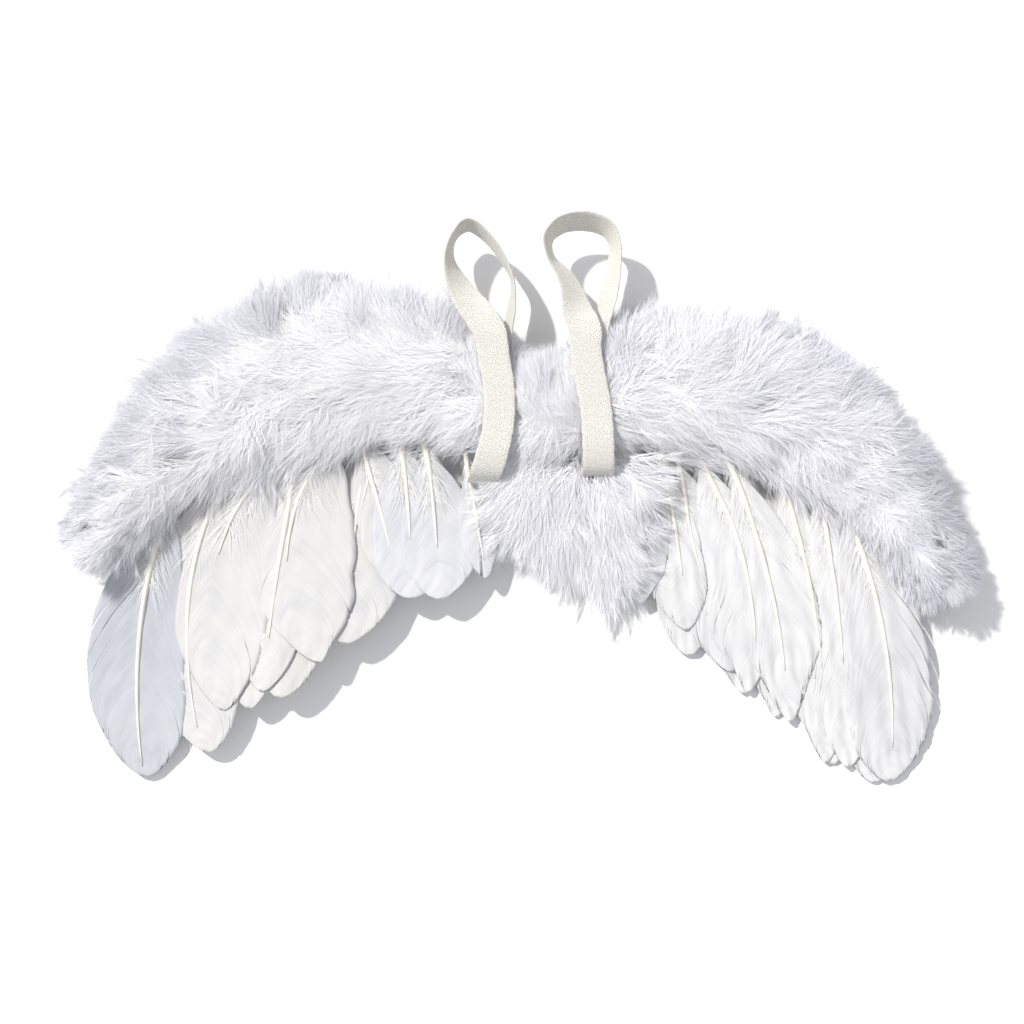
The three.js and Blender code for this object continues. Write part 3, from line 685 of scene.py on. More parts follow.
def tuft_plumes(rng, count, barbs, settings):
    """Plumes that hang below the centre: roots between the band's edge and a lower line, over a low mound."""
    across, down = rng.uniform(0, 1, (2, count))
    first = np.outer(1 - across, (-0.015, -0.004)) + np.outer(across, (0.038, -0.004))
    lower = np.outer(1 - across, (-0.011, -0.030)) + np.outer(across, (0.027, -0.060))
    place = first * (1 - down)[:, None] + lower * down[:, None]
    root = np.column_stack([place, 0 * down])
    reach = settings.plume_length * rng.uniform(0.65, 0.95, count)
    flow = turned(barb_flow(root), rng.normal(0, 0.22, count))
    shaft = plume_shafts(rng, root, flow, reach)
    on_top = rng.uniform(0, 1, count) < 0.75
    level = np.where(on_top, rng.uniform(0.75, 1, count), rng.uniform(0.1, 0.75, count))
    mound = 0.0212 - 0.0125 * smooth(-shaft[..., 1], 0.015, 0.085)
    shaft[..., 2] = 0.002 + mound * level[:, None] + 0.5 * lumps(shaft[..., 0], shaft[..., 1])
    # painted shade: the whole tuft takes a lightness of 0.92, a little below white
    return barbs_on(rng, shaft, reach, level, np.full(count, 0.92), barbs, settings)


CORE_STEPS, CORE_SIDES = 60, 40
# Share of the band's half width on the leading side, by station.
CORE_WIDTH = ([1, 2.2, 4, 14, 16, LAST], [0.5, 0.5, 0.68, 0.68, 0.6, 0.56])


def core_ends(name, low, high):
    """Stations between which a length of band has packed down: short of the wing's end, and past the middle."""
    if name == "left_marabou_4":
        return 0.9, high + 0.02
    if name == "right_marabou_4":
        return low - 0.02, LAST - 1.0
    if name == "centre_marabou_left":
        return low - 0.02, high + 0.25
    if name == "centre_marabou_right":
        return low - 0.25, high + 0.02
    return low - 0.02, high + 0.02


def down_core(name, low, high, material):
    """The packed down inside the band: an oval section of 40 points carried along the boa line.

    Its half width is 0.68 of the plumes' on the trailing side and CORE_WIDTH of the band's on the leading one.
    Its height is 0.74 of the crown's, or 0.66 on the trailing side. Both change by up to 6 percent in slow
    waves, and it closes to a point at each end.
    """
    s = np.linspace(low, high, CORE_STEPS)
    place, half, across = boa_line(s)
    run = np.linspace(0, 1, CORE_STEPS)
    close = np.sqrt(np.clip(1 - (2 * run - 1) ** 16, 0, 1))
    if name.startswith("left_marabou_4"):
        close = close * np.sin(np.pi / 2 * np.clip(run / 0.6, 0, 1)) ** 0.9
    if name.startswith("right_marabou_4"):
        close = close * np.sin(np.pi / 2 * np.clip((1 - run) / 0.6, 0, 1)) ** 0.9
    a = 2 * np.pi * np.arange(CORE_SIDES) / CORE_SIDES
    waves = 1 + 0.06 * np.sin(9 * a[None] + 2.3 * s[:, None] * 3) * np.sin(7.1 * s[:, None] + 2 * a[None])
    width = np.where(np.cos(a)[None] > 0, np.interp(s, *CORE_WIDTH)[:, None], 0.68)
    share = width * np.cos(a)[None] * waves * close[:, None]
    crown = band_crown(half)[:, None]
    waist = WAIST_SHARE * crown
    rise = np.sign(np.sin(a))[None] * np.abs(np.sin(a))[None] ** 0.85
    full = np.where(np.cos(a) < 0, 0.66, 0.74)[None] * crown
    z = waist + np.where(rise > 0, full - waist, waist - 0.0016) * rise * waves * close[:, None]
    trailing = np.interp(s, np.arange(LAST + 1), TRAILING_SHARE)
    share = share * np.where(share > 0, 1, trailing[:, None])
    points = place[:, None] + (share * half[:, None])[..., None] * across[:, None]
    points[..., 2] = np.maximum(z, 0.0012)
    grid = points.reshape(-1, 3)
    loops, sizes = grid_faces(CORE_STEPS, CORE_SIDES, close_columns=True)
    loops = loops.reshape(-1, 4)[:, ::-1].ravel()
    uv = np.column_stack([np.repeat(s, CORE_SIDES), np.tile(a, CORE_STEPS)])
    return new_mesh(name, grid, loops, sizes, [material], uv=uv)


# ---- Feathers ------------------------------------------------------------------------------------

BARE_QUILL = 0.16  # share of the feather before its vane begins
ROW_BASE = 0.0100  # height of the lower row of feathers
WIDEST, ROUNDING = 0.55, 0.7  # shares of the vane at which it is widest and begins to close
MEASURED_AT = 0.52  # share of a frame feather at which its width and bow are measured
SHAFT_PROUD = 0.0004  # how far the shaft's middle stands above the vane's
SHAFT_STEPS, VANE_COLUMNS = 24, 13


def vane_half(share, width):
    """Half the vane's width: a sine swelling to WIDEST, closed from ROUNDING on as (1 - x^2.2)^0.62."""
    along = np.clip((share - BARE_QUILL) / (1 - BARE_QUILL), 0, 1)
    swelling = np.sin(np.minimum(1, along / WIDEST) * np.pi / 2) ** 0.8
    closing = (1 - np.clip((along - ROUNDING) / (1 - ROUNDING), 0, 1) ** 2.2) ** 0.62
    return np.maximum(0.0004, width / 2 * swelling * closing)


def feather_facts(name):
    """Root, directions, length, width, bow, height and tip shift of a feather, from its frame node's vertices.

    The quill's end is the pair of corners furthest from the single corner at the tip. Pairs of corners
    at one distance along the feather lie either side of the shaft.
    """
    mesh = frame["nodes"][name].data
    co = np.empty(3 * len(mesh.vertices))
    mesh.vertices.foreach_get("co", co)
    co = co.reshape(-1, 3)
    height = (co[:, 2].min() + co[:, 2].max()) / 2
    flat = np.unique(np.round(co[:, :2], 6), axis=0)
    main = np.linalg.svd(flat - flat.mean(0), full_matrices=False)[2][0]
    if main[1] > 0:
        main = -main
    order = flat[np.argsort(flat @ main)]
    root, tip = order[:2].mean(0), order[-1]
    length = np.linalg.norm(tip - root)
    ahead = (tip - root) / length
    aside = np.array([-ahead[1], ahead[0]])
    share = (flat - root) @ ahead / length
    middle = flat[np.abs(share - MEASURED_AT) < 0.02]
    swing = (middle - root) @ aside
    bow = swing.mean() / (4 * MEASURED_AT * (1 - MEASURED_AT))
    width = (swing.max() - swing.min()) / (2 * vane_half(MEASURED_AT, 1.0))
    factor, shift = FEATHER_SPREAD.get(name, (1.12, 0))
    return root, ahead, aside, length, width * factor, bow, height, shift * MM


def wing_lift(x, y):
    """How the feathers' heights change over the floor, as a factor.

    On the left wing the outermost tips come down to the floor and the inner ones rise a little. On the
    right wing all tips come down.
    """
    left_tip = np.interp(x, [-0.215, -0.175, -0.145, -0.12, -0.06], [0.22, 0.35, 1.0, 1.6, 1.75])
    left = 1 + (left_tip - 1) * smooth(-y, 0.03, 0.115)
    line = np.interp(x, [0.03, 0.07, 0.105, 0.14, 0.175], [0.09, 0.112, 0.126, 0.148, 0.15])
    right = 1 - 0.72 * smooth(-y / line, 0.45, 1.05)
    return np.where(x < -0.03, left, np.where(x > 0.03, right, 1))


# Vane tints by feather. The cool tint is painted shade: left_flight_1 is coloured a darker, cooler grey because
# it lies turned from the sun.
VANE_TINTS = {
    "cool": (0.80, 0.81, 0.865), "warm": (0.99, 0.98, 0.965), "pale": (0.95, 0.955, 0.99),
    "white": (1.09, 1.09, 1.09), "end": (1.02, 1.02, 1.03),
}

# name: (width factor, shift of the tip in millimetres)
FEATHER_SPREAD = {
    "left_flight_1": (1.04, 0), "left_flight_2": (1.4, 0), "left_flight_3": (1.3, -2),
    "left_flight_4": (1.3, 0), "left_flight_5": (1.22, -5), "left_flight_6": (1.6, -1),
    "left_under_1": (1.3, 0), "left_under_2": (1.3, 0), "left_under_3": (1.15, -1),
    "left_cover_1": (1.55, 0), "left_cover_2": (1.65, -1), "centre_cover": (1.3, -1),
    "right_cover_1": (1.4, 0), "right_flight_7": (1.06, 0), "right_flight_5": (1.3, 0),
    "right_flight_2": (1.3, 0), "right_flight_3": (1.3, 0), "right_flight_4": (1.3, 0),
    "right_flight_6": (1.2, 0), "right_flight_1": (1.3, 0),
}

# name: (lean of the shaft, splits as (side, place, start, gap), raggedness, ripple, shaft reach)
FEATHER_STYLE = {
    "left_flight_1": (0.0, ((-1, 0.3, 0.3, 0.004), (-1, 0.38, 0.2, 0.005), (-1, 0.47, 0.5, 0.003),
                            (1, 0.62, 0.7, 0.002)), 0.02, 0.12, 0.97),
    "left_flight_2": (-0.1, ((1, 0.8, 0.7, 0.005),), 0.015, 0.12, 0.93),
    "left_flight_3": (-0.3, ((1, 0.62, 0.6, 0.006),), 0.015, 0.15, 0.5),
    "left_flight_5": (-0.35, ((-1, 0.55, 0.5, 0.01),), 0.015, 0.15, 0.62),
    "right_flight_7": (0.05, ((1, 0.3, 0.35, 0.006), (1, 0.4, 0.45, 0.005), (1, 0.5, 0.4, 0.006),
                              (1, 0.6, 0.6, 0.004), (-1, 0.7, 0.6, 0.003)), 0.03, 0.3, 0.9),
}


def feather_level(height, share):
    """The height the wing's lift works on: the feather's own at its root and ROW_BASE further out."""
    return height + (ROW_BASE - height) * smooth(share, 0.08, 0.4)


def row_share(share, height):
    """How much of the rows' spacing is left at a share of the length: further out the feathers lie closer."""
    closing = 0.62 if height > ROW_BASE else 0.75
    return 1 - closing * smooth(share, 0.08, 0.4)


def rumple(x, y):
    """Folds along the feathers, the same for all rows: deep on the right wing and faint on the left."""
    on_right = smooth(x, -0.01, 0.04)
    lean = np.where(x > 0, 0.33, -0.3)
    over, ahead = x * 0.94 + y * lean, x * lean - y * 0.94
    wide = np.sin(over * 650 + 1.3 * np.sin(ahead * 150))
    narrow = np.sin(over * 1350 + 2 * np.sin(ahead * 240) + 1)
    folds = 0.00042 * wide + 0.0002 * narrow
    waves = 0.0001 * np.sin(ahead * 420 + 2 * np.sin(over * 200))
    return (0.25 + 0.75 * on_right) * folds + waves


def vane_height(height, share, x, y, camber=0.0):
    """Height of the vane: its lifted level, what is left of the rows' spacing, its camber, and the folds."""
    level = feather_level(height, share)
    spacing = (height - level) * row_share(share, height)
    return level * wing_lift(x, y) + spacing + camber + rumple(x, y) * smooth(share, 0.15, 0.4)


def vane_side(rng, facts, side, lean, splits, ragged, ripple, sharp, rows):
    """One side of a vane, as a sheet of barbs.

    Row a is a barb that leaves the shaft at share a. At t of the way out it stands at share
    a + slant (t + t^2) / 2 and t times the half width there, so the barbs curve towards the tip. At a split the
    rows either side draw apart by the gap times t^1.6, and no face joins them beyond the split's start.
    """
    root, ahead, aside, length, width, _, height, _ = facts
    a = np.linspace(0.05, 0.997, rows)
    cuts = sorted(splits, key=lambda each: each[1])
    for _, where, _, _ in cuts:
        a = np.insert(a, np.searchsorted(a, where), [where - 1e-4, where + 1e-4])
    t = np.linspace(0, 1, VANE_COLUMNS)
    aa, tt = np.meshgrid(a, t, indexing="ij")
    slant = np.interp(aa, [0.05, 0.3, 0.55, 0.8], [0.12, 0.4, 0.6, 0.85]) * (1 - aa)
    share = aa + slant * (0.5 * tt + 0.5 * tt**2)
    keep = np.ones((len(a) - 1, VANE_COLUMNS - 1), bool)
    for _, where, begin, gap in cuts:
        opening = np.clip((tt - begin) / (1 - begin), 0, 1) ** 1.6
        near = np.exp(-np.abs(aa - where) / 0.02)
        share = share + np.sign(aa - where) * gap * near * opening
        row = np.searchsorted(a, where) - 1
        keep[row, t[:-1] >= begin - 0.01] = False
    share = np.minimum(share, 1)
    steps = rng.normal(0, 1, len(a))
    fringe = np.convolve(steps, np.ones(5) / 5, mode="same") * 0.6 + 0.4 * rng.normal(0, 1, len(a))
    ragged_there = ragged * (1 + 1.5 * smooth(share, 0.8, 0.98))
    trim = 1 - ragged_there * np.abs(fringe)[:, None] * tt**3
    wobble = rng.uniform(0, 6, 3)
    uneven = np.sin(8 * share + wobble[0]) + 0.6 * np.sin(19 * share + wobble[1])
    uneven = uneven + 0.4 * np.sin(43 * share + wobble[2])
    trim = trim * (1 + (0.022 + 0.3 * ragged) * uneven * tt) * (1 - sharp * smooth(share, 0.72, 1))
    out = side * tt * vane_half(share, width) * (1 - side * lean) * trim
    shaft_at = shaft_swing(facts, share, lean)
    xy = root + (share * length)[..., None] * ahead + (shaft_at + out)[..., None] * aside
    camber = -0.00042 * tt**2 + 0.0001 * ripple * np.sin(30 * share + rng.uniform(0, 6)) * tt**2
    z = vane_height(height, share, xy[..., 0], xy[..., 1], camber)
    points = np.dstack([xy, np.maximum(z, LOWEST)]).reshape(-1, 3)
    loops, sizes = grid_faces(len(a), VANE_COLUMNS, keep)
    if side > 0:
        loops = loops.reshape(-1, 4)[:, ::-1].ravel()
    uv = np.column_stack([(aa * length).ravel(), (side * tt * 0.5 + 0.5).ravel()])
    return points, loops, sizes, np.zeros(len(sizes), int), uv


def shaft_swing(facts, share, lean):
    """The shaft's distance from the straight line: the feather's bow, and lean times the half width."""
    width, bow, _, shift = facts[4:8]
    swing = 4 * bow * share * (1 - share) + shift * smooth(share, 0, 0.9)
    return swing + lean * vane_half(share, width) * smooth(share, 0.1, 0.4)


def shaft_line(facts, shares, lean):
    """Points of the shaft at shares of the length, SHAFT_PROUD above the vane's middle."""
    root, ahead, aside, length, _, _, height, _ = facts
    xy = root + (shares * length)[:, None] * ahead + shaft_swing(facts, shares, lean)[:, None] * aside
    return np.column_stack([xy, vane_height(height, shares, *xy.T) + SHAFT_PROUD])


def make_feather(name, materials, settings):
    """A feather: two vane sides, a tapering shaft and loose down at the foot of the vane."""
    facts = feather_facts(name)
    rng = np.random.default_rng(sum(map(ord, name)))
    on_right = facts[0][0] > 0
    ragged, ripple = (0.035, 0.42) if on_right else (0.015, 0.15)
    default = (rng.uniform(-0.25, 0.25), (), ragged, ripple, rng.uniform(0.6, 0.9))
    lean, splits, ragged, ripple, reach = FEATHER_STYLE.get(name, default)
    if not splits:
        splits = tuple(
            (rng.choice([-1, 1]), rng.uniform(0.3, 0.75), rng.uniform(0.5, 0.8), rng.uniform(0.002, 0.005))
            for _ in range(rng.integers(1, 3) + 2 * on_right)
        )
    width = facts[4]
    sharp = 0.08 if name in ("left_flight_1", "right_flight_7") else rng.uniform(0.05, 0.5)
    sheets = []
    for side in (1, -1):
        own = [each for each in splits if each[0] == side]
        sheets.append(vane_side(rng, facts, side, lean, own, ragged, ripple, sharp, settings.barb_rows))
    vane = join(sheets)
    piece = new_mesh(name + "_vane", *vane[:3], materials, slots=vane[3], uv=vane[4])
    merge_doubles(piece)
    solid = piece.modifiers.new("Thickness", "SOLIDIFY")
    solid.thickness = settings.vane_thickness
    solid.offset = 0
    shares = np.linspace(0.0, reach, SHAFT_STEPS)
    radius = 0.0015 * (1 - shares / reach) ** 0.75 * (0.55 + 0.45 * np.clip(width / 0.03, 0, 1.2)) + 0.00018
    down = foot_down(rng, facts, lean, settings)
    stem = join([rods(shaft_line(facts, shares, lean)[None], radius[None], 0, sides=8), down])
    shaft = new_mesh(name + "_shaft", *stem[:3], [materials[1], materials[2]], slots=stem[3], uv=stem[4])
    return piece, shaft


def foot_down(rng, facts, lean, settings):
    """Loose downy barbs beside the shaft between the bare quill and the firm vane."""
    _, ahead, aside, _, width, _, _, _ = facts
    count = settings.foot_barbs
    share = rng.uniform(0.05, 0.4, count)
    start = shaft_line(facts, share, lean)
    hand = np.where(rng.uniform(size=count) < 0.5, -1.0, 1.0)
    heading = np.broadcast_to(np.append(ahead, 0), (count, 3))
    sideways = np.append(aside, 0)[None] * hand[:, None]
    lift = rng.normal(0.02, 0.03, count)[:, None] * UP
    reach = width * rng.uniform(0.15, 0.5, count) * (0.7 + share)
    return ribbons(start, heading, sideways, lift, reach, rng.uniform(0.00012, 0.0002, count),
                   np.radians(rng.uniform(12, 60, count)), np.ones(count, int))


def merge_doubles(piece):
    """Joins the two vane sides along the shaft."""
    work = bmesh.new()
    work.from_mesh(piece.data)
    bmesh.ops.remove_doubles(work, verts=work.verts, dist=1e-6)
    work.to_mesh(piece.data)
    work.free()


# ---- Arm straps ----------------------------------------------------------------------------------

STRAP_WIDTH, STRAP_THICKNESS = 0.014, 0.0012
FINE_STEPS = 60  # steps in each span when a strap is measured

# Strap lines as [x, y, z, tilt] in millimetres and degrees, from the run's stitched end over the loop to the
# tail's.
LEFT_STRAP = np.array([
    [-22, 2, 10.6, 0], [-22.5, -8, 10.6, 0], [-24.5, -14, 11.5, 0], [-27.5, -18, 15.5, 0],
    [-28.5, -18.6, 21, 0], [-27.3, -15, 27, 0], [-24.6, -7, 30, 0], [-21.5, 8, 30, 0], [-21.6, 24, 30, 0],
    [-23.4, 34, 30, 0], [-24.2, 40, 30, 0], [-25.4, 47, 30, 2], [-30, 54.5, 29, 10], [-35.5, 62, 27, 28],
    [-39.8, 70, 24, 48], [-43.5, 82, 20.5, 75], [-41.5, 91, 19, 82], [-35.5, 96, 18.5, 72],
    [-28, 91.5, 18.5, 76], [-20, 81, 19, 82], [-15.5, 71, 19.5, 86], [-16, 58, 19.5, 76],
    [-17.5, 49, 19, 74], [-17.5, 42, 19, 74], [-18.5, 36, 14.5, 36], [-19, 30, 10.6, 0],
    [-19.5, 15, 10.6, 0],
])
RIGHT_STRAP = np.array([
    [22.5, 4, 10.6, 0], [22.5, -6, 10.6, 0], [22.6, -13, 13, 0], [22.7, -16, 19.5, 0], [22.6, -13, 26.5, 0],
    [22.5, -4, 30, 0], [21.4, 13.5, 30, 0], [18, 32, 30, 0], [16.8, 40, 30, 0], [16.8, 48, 30, 0],
    [13.6, 56, 28, 18], [11.5, 65, 25.5, 45], [8, 73, 23, 60], [1.5, 82, 20.5, 75], [0.5, 90, 19.5, 72],
    [6.5, 96, 19, 62], [17.5, 97.5, 19, 58], [27, 94, 19, 64], [30.5, 86.5, 19, 72], [29.6, 77, 19, 64],
    [27.5, 65, 19, 58], [25.7, 56, 19.2, 64], [24.6, 49, 19, 70], [24.6, 42, 19, 70], [24.2, 36, 14.5, 36],
    [24, 30, 10.6, 0], [24, 15, 10.6, 0],
])


def through(points, count):
    """Points evenly spaced along the curve through the given ones, other columns with them, and its length."""
    last = len(points) - 1
    fine = np.linspace(0, last, FINE_STEPS * last)
    steps = np.diff(curve(points, fine)[0][:, :3], axis=0)
    run = np.concatenate([[0], np.cumsum(np.linalg.norm(steps, axis=1))])
    even = np.interp(np.linspace(0, run[-1], count), run, fine)
    return curve(points, even)[0], run[-1]


def strap_profile(ribs, width, thickness):
    """The strap's section: a flat oval whose two faces have rounded ribs, as offsets across and out."""
    across = np.linspace(-1, 1, 4 * ribs + 1)
    swell = 0.82 + 0.18 * np.abs(np.cos(np.pi * ribs * (across + 1) / 2))
    edge = np.sqrt(np.clip(1 - np.abs(across) ** 10, 0, 1))
    face = thickness / 2 * swell * (0.35 + 0.65 * edge)
    upper = np.column_stack([across * width / 2, face])
    lower = np.column_stack([across[::-1] * width / 2, -face[::-1]])
    return np.vstack([upper, lower])


def make_strap(name, line, material, settings):
    """One arm strap: the ribbed section carried along its line, turned on edge by the tilt.

    Where the first half turns over at the lower end it climbs upright, so its width is set along X there.
    """
    at, length = through(line * (MM, MM, MM, 1), settings.strap_steps)
    centre, tilt = at[:, :3], np.radians(at[:, 3])
    heading = unit(np.gradient(centre, axis=0))
    level = unit(np.column_stack([-heading[:, 1], heading[:, 0], 0 * tilt]))
    bend_over = smooth(-centre[:, 1], -0.044, -0.030) * (np.arange(len(tilt)) < 0.5 * len(tilt))
    level = unit(level * (1 - bend_over)[:, None] + np.array((-1, 0, 0)) * bend_over[:, None])
    wide = level * np.cos(tilt)[:, None] + UP * np.sin(tilt)[:, None]
    wide = unit(wide - np.sum(wide * heading, axis=1)[:, None] * heading)
    face = np.cross(heading, wide)
    profile = strap_profile(settings.strap_ribs, STRAP_WIDTH, STRAP_THICKNESS)
    run = np.linspace(0, length, len(centre))
    breathe = 1 + 0.012 * np.sin(run * 900) + 0.02 * np.sin(run * 70)
    points = (
        centre[:, None]
        + profile[None, :, :1] * breathe[:, None, None] * wide[:, None]
        + profile[None, :, 1:] * face[:, None]
    )
    rows, columns = points.shape[:2]
    loops, sizes = grid_faces(rows, columns, close_columns=True)
    ends = np.arange(columns)
    loops = np.concatenate([loops, ends[::-1], (rows - 1) * columns + ends])
    sizes = np.concatenate([sizes, [columns, columns]])
    uv = np.column_stack([np.tile(profile[:, 0] + 0.5 * (profile[:, 1] < 0), rows), np.repeat(run, columns)])
    piece = new_mesh(name, points.reshape(-1, 3), loops, sizes, [material], uv=uv)
    return piece, length


# ---- Settings ------------------------------------------------------------------------------------


def length_of(name, description, default):
    """A length among the settings."""
    return FloatProperty(name=name, description=description, default=default, unit="LENGTH")


def colour_of(name, description, default):
    """A colour among the settings."""
    return FloatVectorProperty(name=name, description=description, default=default, subtype="COLOR")


class MarabouSettings(bpy.types.PropertyGroup):
    """Sizes and colour of the marabou band."""

    plume_length: length_of("Plume length", "Length of a marabou plume", 0.027)
    barb_width: length_of("Barb width", "Width of a barb at its foot", 0.00019)
    plumes: IntProperty(name="Plumes", description="Plumes in each length of the band", default=535)
    barbs: IntProperty(name="Barbs", description="Barbs on each plume", default=52)
    tuft: IntProperty(name="Tuft", description="Plumes in the tuft below the centre", default=540)
    barb_colour: colour_of("Barb colour", "Colour of the marabou barbs", (0.98, 0.98, 0.985))


class FeatherSettings(bpy.types.PropertyGroup):
    """Sizes and colour of the wing feathers."""

    vane_thickness: length_of("Vane thickness", "Thickness of the vane sheet", 0.00022)
    barb_rows: IntProperty(name="Barb rows", description="Rows along each side of a vane", default=110)
    foot_barbs: IntProperty(name="Foot down", description="Loose barbs at a vane's foot", default=380)
    vane_colour: colour_of("Vane colour", "Colour of the vanes", (0.65, 0.65, 0.65))


class StrapSettings(bpy.types.PropertyGroup):
    """Sizes and colour of the arm straps."""

    strap_ribs: IntProperty(name="Ribs", description="Lengthwise ribs across the elastic", default=8)
    strap_steps: IntProperty(name="Steps", description="Cross sections along each strap", default=280)
    elastic_colour: colour_of("Elastic colour", "Colour of the elastic", (0.775, 0.765, 0.715))


class StageSettings(bpy.types.PropertyGroup):
    """Floor, lights and camera."""

    floor_colour: colour_of("Floor colour", "Colour of the floor", (0.95, 0.95, 0.95))
    sun_strength: FloatProperty(name="Sun strength", description="Strength of the key light", default=3.3)
    sun_slant: FloatProperty(name="Sun slant", description="Degrees from straight down", default=45)
    sky_strength: FloatProperty(name="Sky strength", description="Strength of the even light", default=0.62)
    camera_height: length_of("Camera height", "Height of the camera over the wings' top", 1.0)


# ---- Operators -----------------------------------------------------------------------------------


SENSOR = 36  # width of the camera's sensor, in its own millimetres
SEEN_WIDTH, SEEN_MIDDLE, SEEN_HEIGHT = 0.4608, (-0.01575, -0.0324), 0.012  # the part of the level in view
FLOOR_HALF, FLOOR_LINES, FLOOR_BELOW = 40.0, 25, 0.0002
SUN_SIZE, SUN_TURN = 2.5, -136  # degrees


class WINGS_OT_stage(bpy.types.Operator):
    """Sets the floor, the lights and the camera straight above the wings"""

    bl_idname = "wings.stage"
    bl_label = "Stage"

    def execute(self, context):
        scene = context.scene
        settings = scene.wings_stage
        camera = bpy.data.objects.new("camera", bpy.data.cameras.new("camera"))
        scene.collection.objects.link(camera)
        camera.data.sensor_width = SENSOR
        camera.data.lens = SENSOR * settings.camera_height / SEEN_WIDTH
        camera.location = (*SEEN_MIDDLE, settings.camera_height + SEEN_HEIGHT)
        scene.camera = camera
        steps = np.linspace(-FLOOR_HALF, FLOOR_HALF, FLOOR_LINES)
        x, y = np.meshgrid(steps, steps, indexing="ij")
        loops, sizes = grid_faces(FLOOR_LINES, FLOOR_LINES)
        points = np.column_stack([x.ravel(), y.ravel(), 0 * x.ravel() - FLOOR_BELOW])
        floor = new_mesh("floor", points, loops, sizes, [floor_material(settings)])
        lamp = bpy.data.lights.new("key_light", "SUN")
        lamp.energy = settings.sun_strength
        lamp.angle = np.radians(SUN_SIZE)
        lamp.color = (1.0, 0.985, 0.955)
        sun = bpy.data.objects.new("key_light", lamp)
        sun.rotation_euler = (np.radians(settings.sun_slant), 0, np.radians(SUN_TURN))
        scene.collection.objects.link(sun)
        world = bpy.data.worlds.new("even_light")
        world.use_nodes = True
        background = world.node_tree.nodes["Background"]
        background.inputs["Color"].default_value = (0.975, 0.985, 1.03, 1)
        background.inputs["Strength"].default_value = settings.sky_strength
        scene.world = world
        scene.view_settings.view_transform = "Standard"
        return {"FINISHED"}


class WINGS_OT_structure(bpy.types.Operator):
    """Gives the felt, the wire, the cords and the tacks their finishes"""

    bl_idname = "wings.structure"
    bl_label = "Felt, wire, cords and tacks"

    def execute(self, context):
        finishes = {"felt": felt_material(), "thread": thread_material(), "wire": wire_material()}
        slots = {each["node"]: each["material_slot"] for each in frame["record"]["subparts"]}
        for name, node in frame["nodes"].items():
            if slots[name] in finishes:
                for slot in node.material_slots:
                    slot.material = finishes[slots[name]]
        return {"FINISHED"}


class WINGS_OT_marabou(bpy.types.Operator):
    """Makes the marabou band: packed down inside and plumes of fine barbs outside"""

    bl_idname = "wings.marabou"
    bl_label = "Marabou band"

    def execute(self, context):
        settings = context.scene.wings_marabou
        materials = marabou_materials(settings)
        inner = down_material(settings)
        for number, (name, (low, high, share)) in enumerate(BAND_PIECES.items()):
            rng = np.random.default_rng(BAND_SEED + number)
            made = plumes(rng, int(settings.plumes * share), low, high, settings.barbs, settings)
            piece = new_mesh(name + "_plumes", *made[:3], materials, slots=made[3], uv=made[4])
            attach(piece, name)
            core = down_core(name + "_down", *core_ends(name, low, high), inner)
            attach(core, name)
            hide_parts("centre_marabou" if name.startswith("centre") else name)
        rng = np.random.default_rng(TUFT_SEED)
        made = tuft_plumes(rng, settings.tuft, settings.barbs, settings)
        tuft = new_mesh("centre_tuft_plumes", *made[:3], materials, slots=made[3], uv=made[4])
        attach(tuft, "centre_tuft")
        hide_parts("centre_marabou_tuft")
        return {"FINISHED"}


class WINGS_OT_feathers(bpy.types.Operator):
    """Makes each wing feather: slit vane, cream shaft and down at its foot"""

    bl_idname = "wings.feathers"
    bl_label = "Wing feathers"

    def execute(self, context):
        settings = context.scene.wings_feathers
        down = Recipe("feather_down", (0.9, 0.9, 0.89), 0.85, sheen=0.2).material
        horn = shaft_material()
        vanes = {key: vane_material("feather_vane_" + key, settings, tint) for key, tint in VANE_TINTS.items()}
        for each in frame["record"]["subparts"]:
            if each["material_slot"] != "feather":
                continue
            name = each["node"]
            # painted shade: left_flight_1 takes the darker cool tint for a feather turned from the sun
            tint = "cool" if name == "left_flight_1" else "warm" if name.startswith("left") else "white"
            tint = "pale" if "cover" in name else "end" if name == "right_flight_7" else tint
            vane, shaft = make_feather(name, [vanes[tint], horn, down], settings)
            for piece in (vane, shaft):
                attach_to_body(piece, body_for(name))
            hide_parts(name)
        return {"FINISHED"}


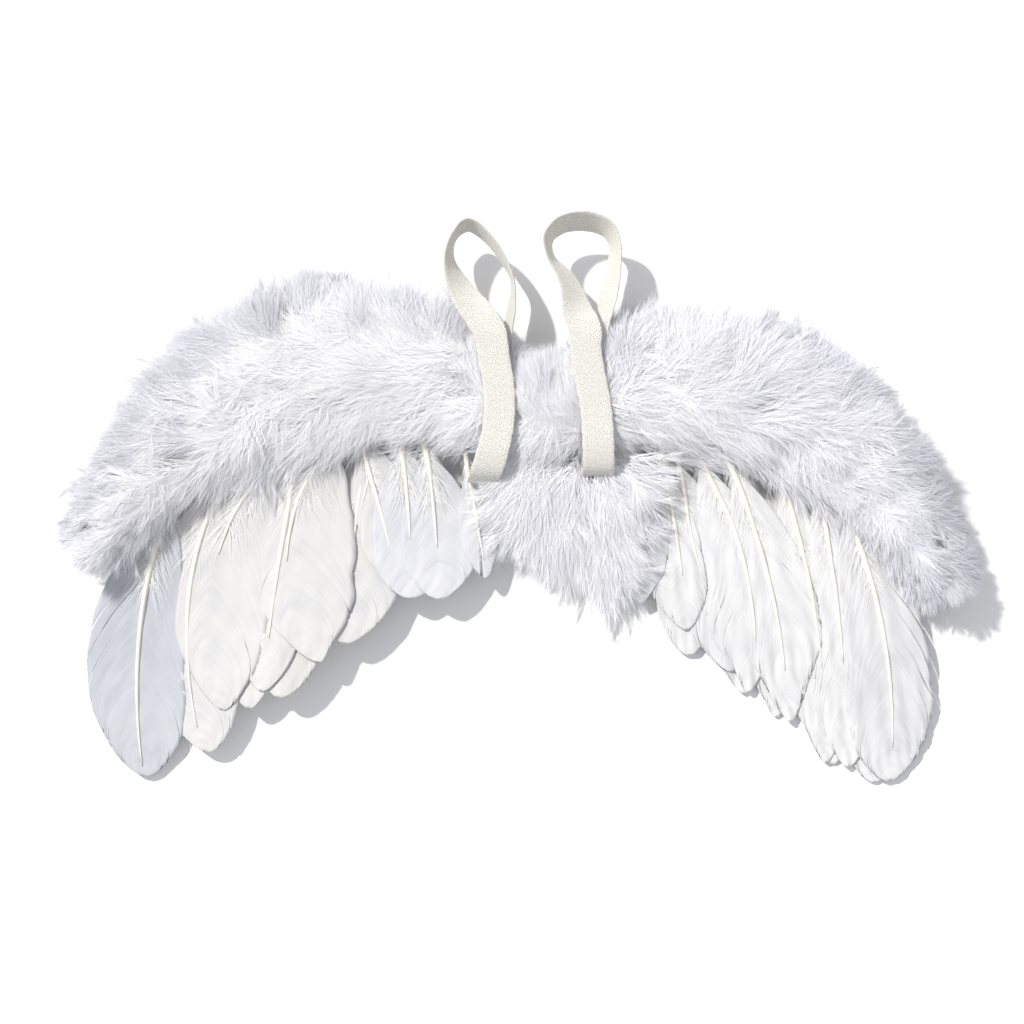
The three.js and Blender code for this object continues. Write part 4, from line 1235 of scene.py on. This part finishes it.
class WINGS_OT_straps(bpy.types.Operator):
    """Makes the two elastic arm straps, each in one length"""

    bl_idname = "wings.straps"
    bl_label = "Arm straps"

    def execute(self, context):
        settings = context.scene.wings_straps
        material = elastic_material(settings)
        for side, line in (("left", LEFT_STRAP), ("right", RIGHT_STRAP)):
            strap, length = make_strap(side + "_arm_strap", line, material, settings)
            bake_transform(strap)
            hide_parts(side + "_strap_run", side + "_strap_loop", side + "_strap_tail")
        return {"FINISHED"}


class WINGS_PT_panel(bpy.types.Panel):
    """Lists the makers of the wings' pieces"""

    bl_idname = "WINGS_PT_panel"
    bl_label = "Feather Wings"
    bl_space_type = "VIEW_3D"
    bl_region_type = "UI"
    bl_category = "Feather Wings"

    def draw(self, context):
        scene = context.scene
        for group in (scene.wings_marabou, scene.wings_feathers, scene.wings_straps, scene.wings_stage):
            for key in group.bl_rna.properties.keys():
                if key not in ("rna_type", "name"):
                    self.layout.prop(group, key)
        for maker in MAKERS:
            self.layout.operator(maker.bl_idname)


MAKERS = (WINGS_OT_stage, WINGS_OT_structure, WINGS_OT_marabou, WINGS_OT_feathers, WINGS_OT_straps)
SETTINGS = {
    "wings_marabou": MarabouSettings, "wings_feathers": FeatherSettings,
    "wings_straps": StrapSettings, "wings_stage": StageSettings,
}


def register():
    """Makes the settings, the operators and the panel known to Blender."""
    for group in SETTINGS.values():
        bpy.utils.register_class(group)
    for key, group in SETTINGS.items():
        setattr(bpy.types.Scene, key, PointerProperty(type=group))
    for maker in MAKERS:
        bpy.utils.register_class(maker)
    bpy.utils.register_class(WINGS_PT_panel)


def unregister():
    """Takes them away again, the last first."""
    bpy.utils.unregister_class(WINGS_PT_panel)
    for maker in reversed(MAKERS):
        bpy.utils.unregister_class(maker)
    for key in SETTINGS:
        delattr(bpy.types.Scene, key)
    for group in reversed(SETTINGS.values()):
        bpy.utils.unregister_class(group)


def main():
    register()
    bpy.ops.wings.stage()
    bpy.ops.wings.structure()
    bpy.ops.wings.straps()
    bpy.ops.wings.feathers()
    bpy.ops.wings.marabou()
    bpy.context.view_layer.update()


if __name__ == "__main__":
    main()
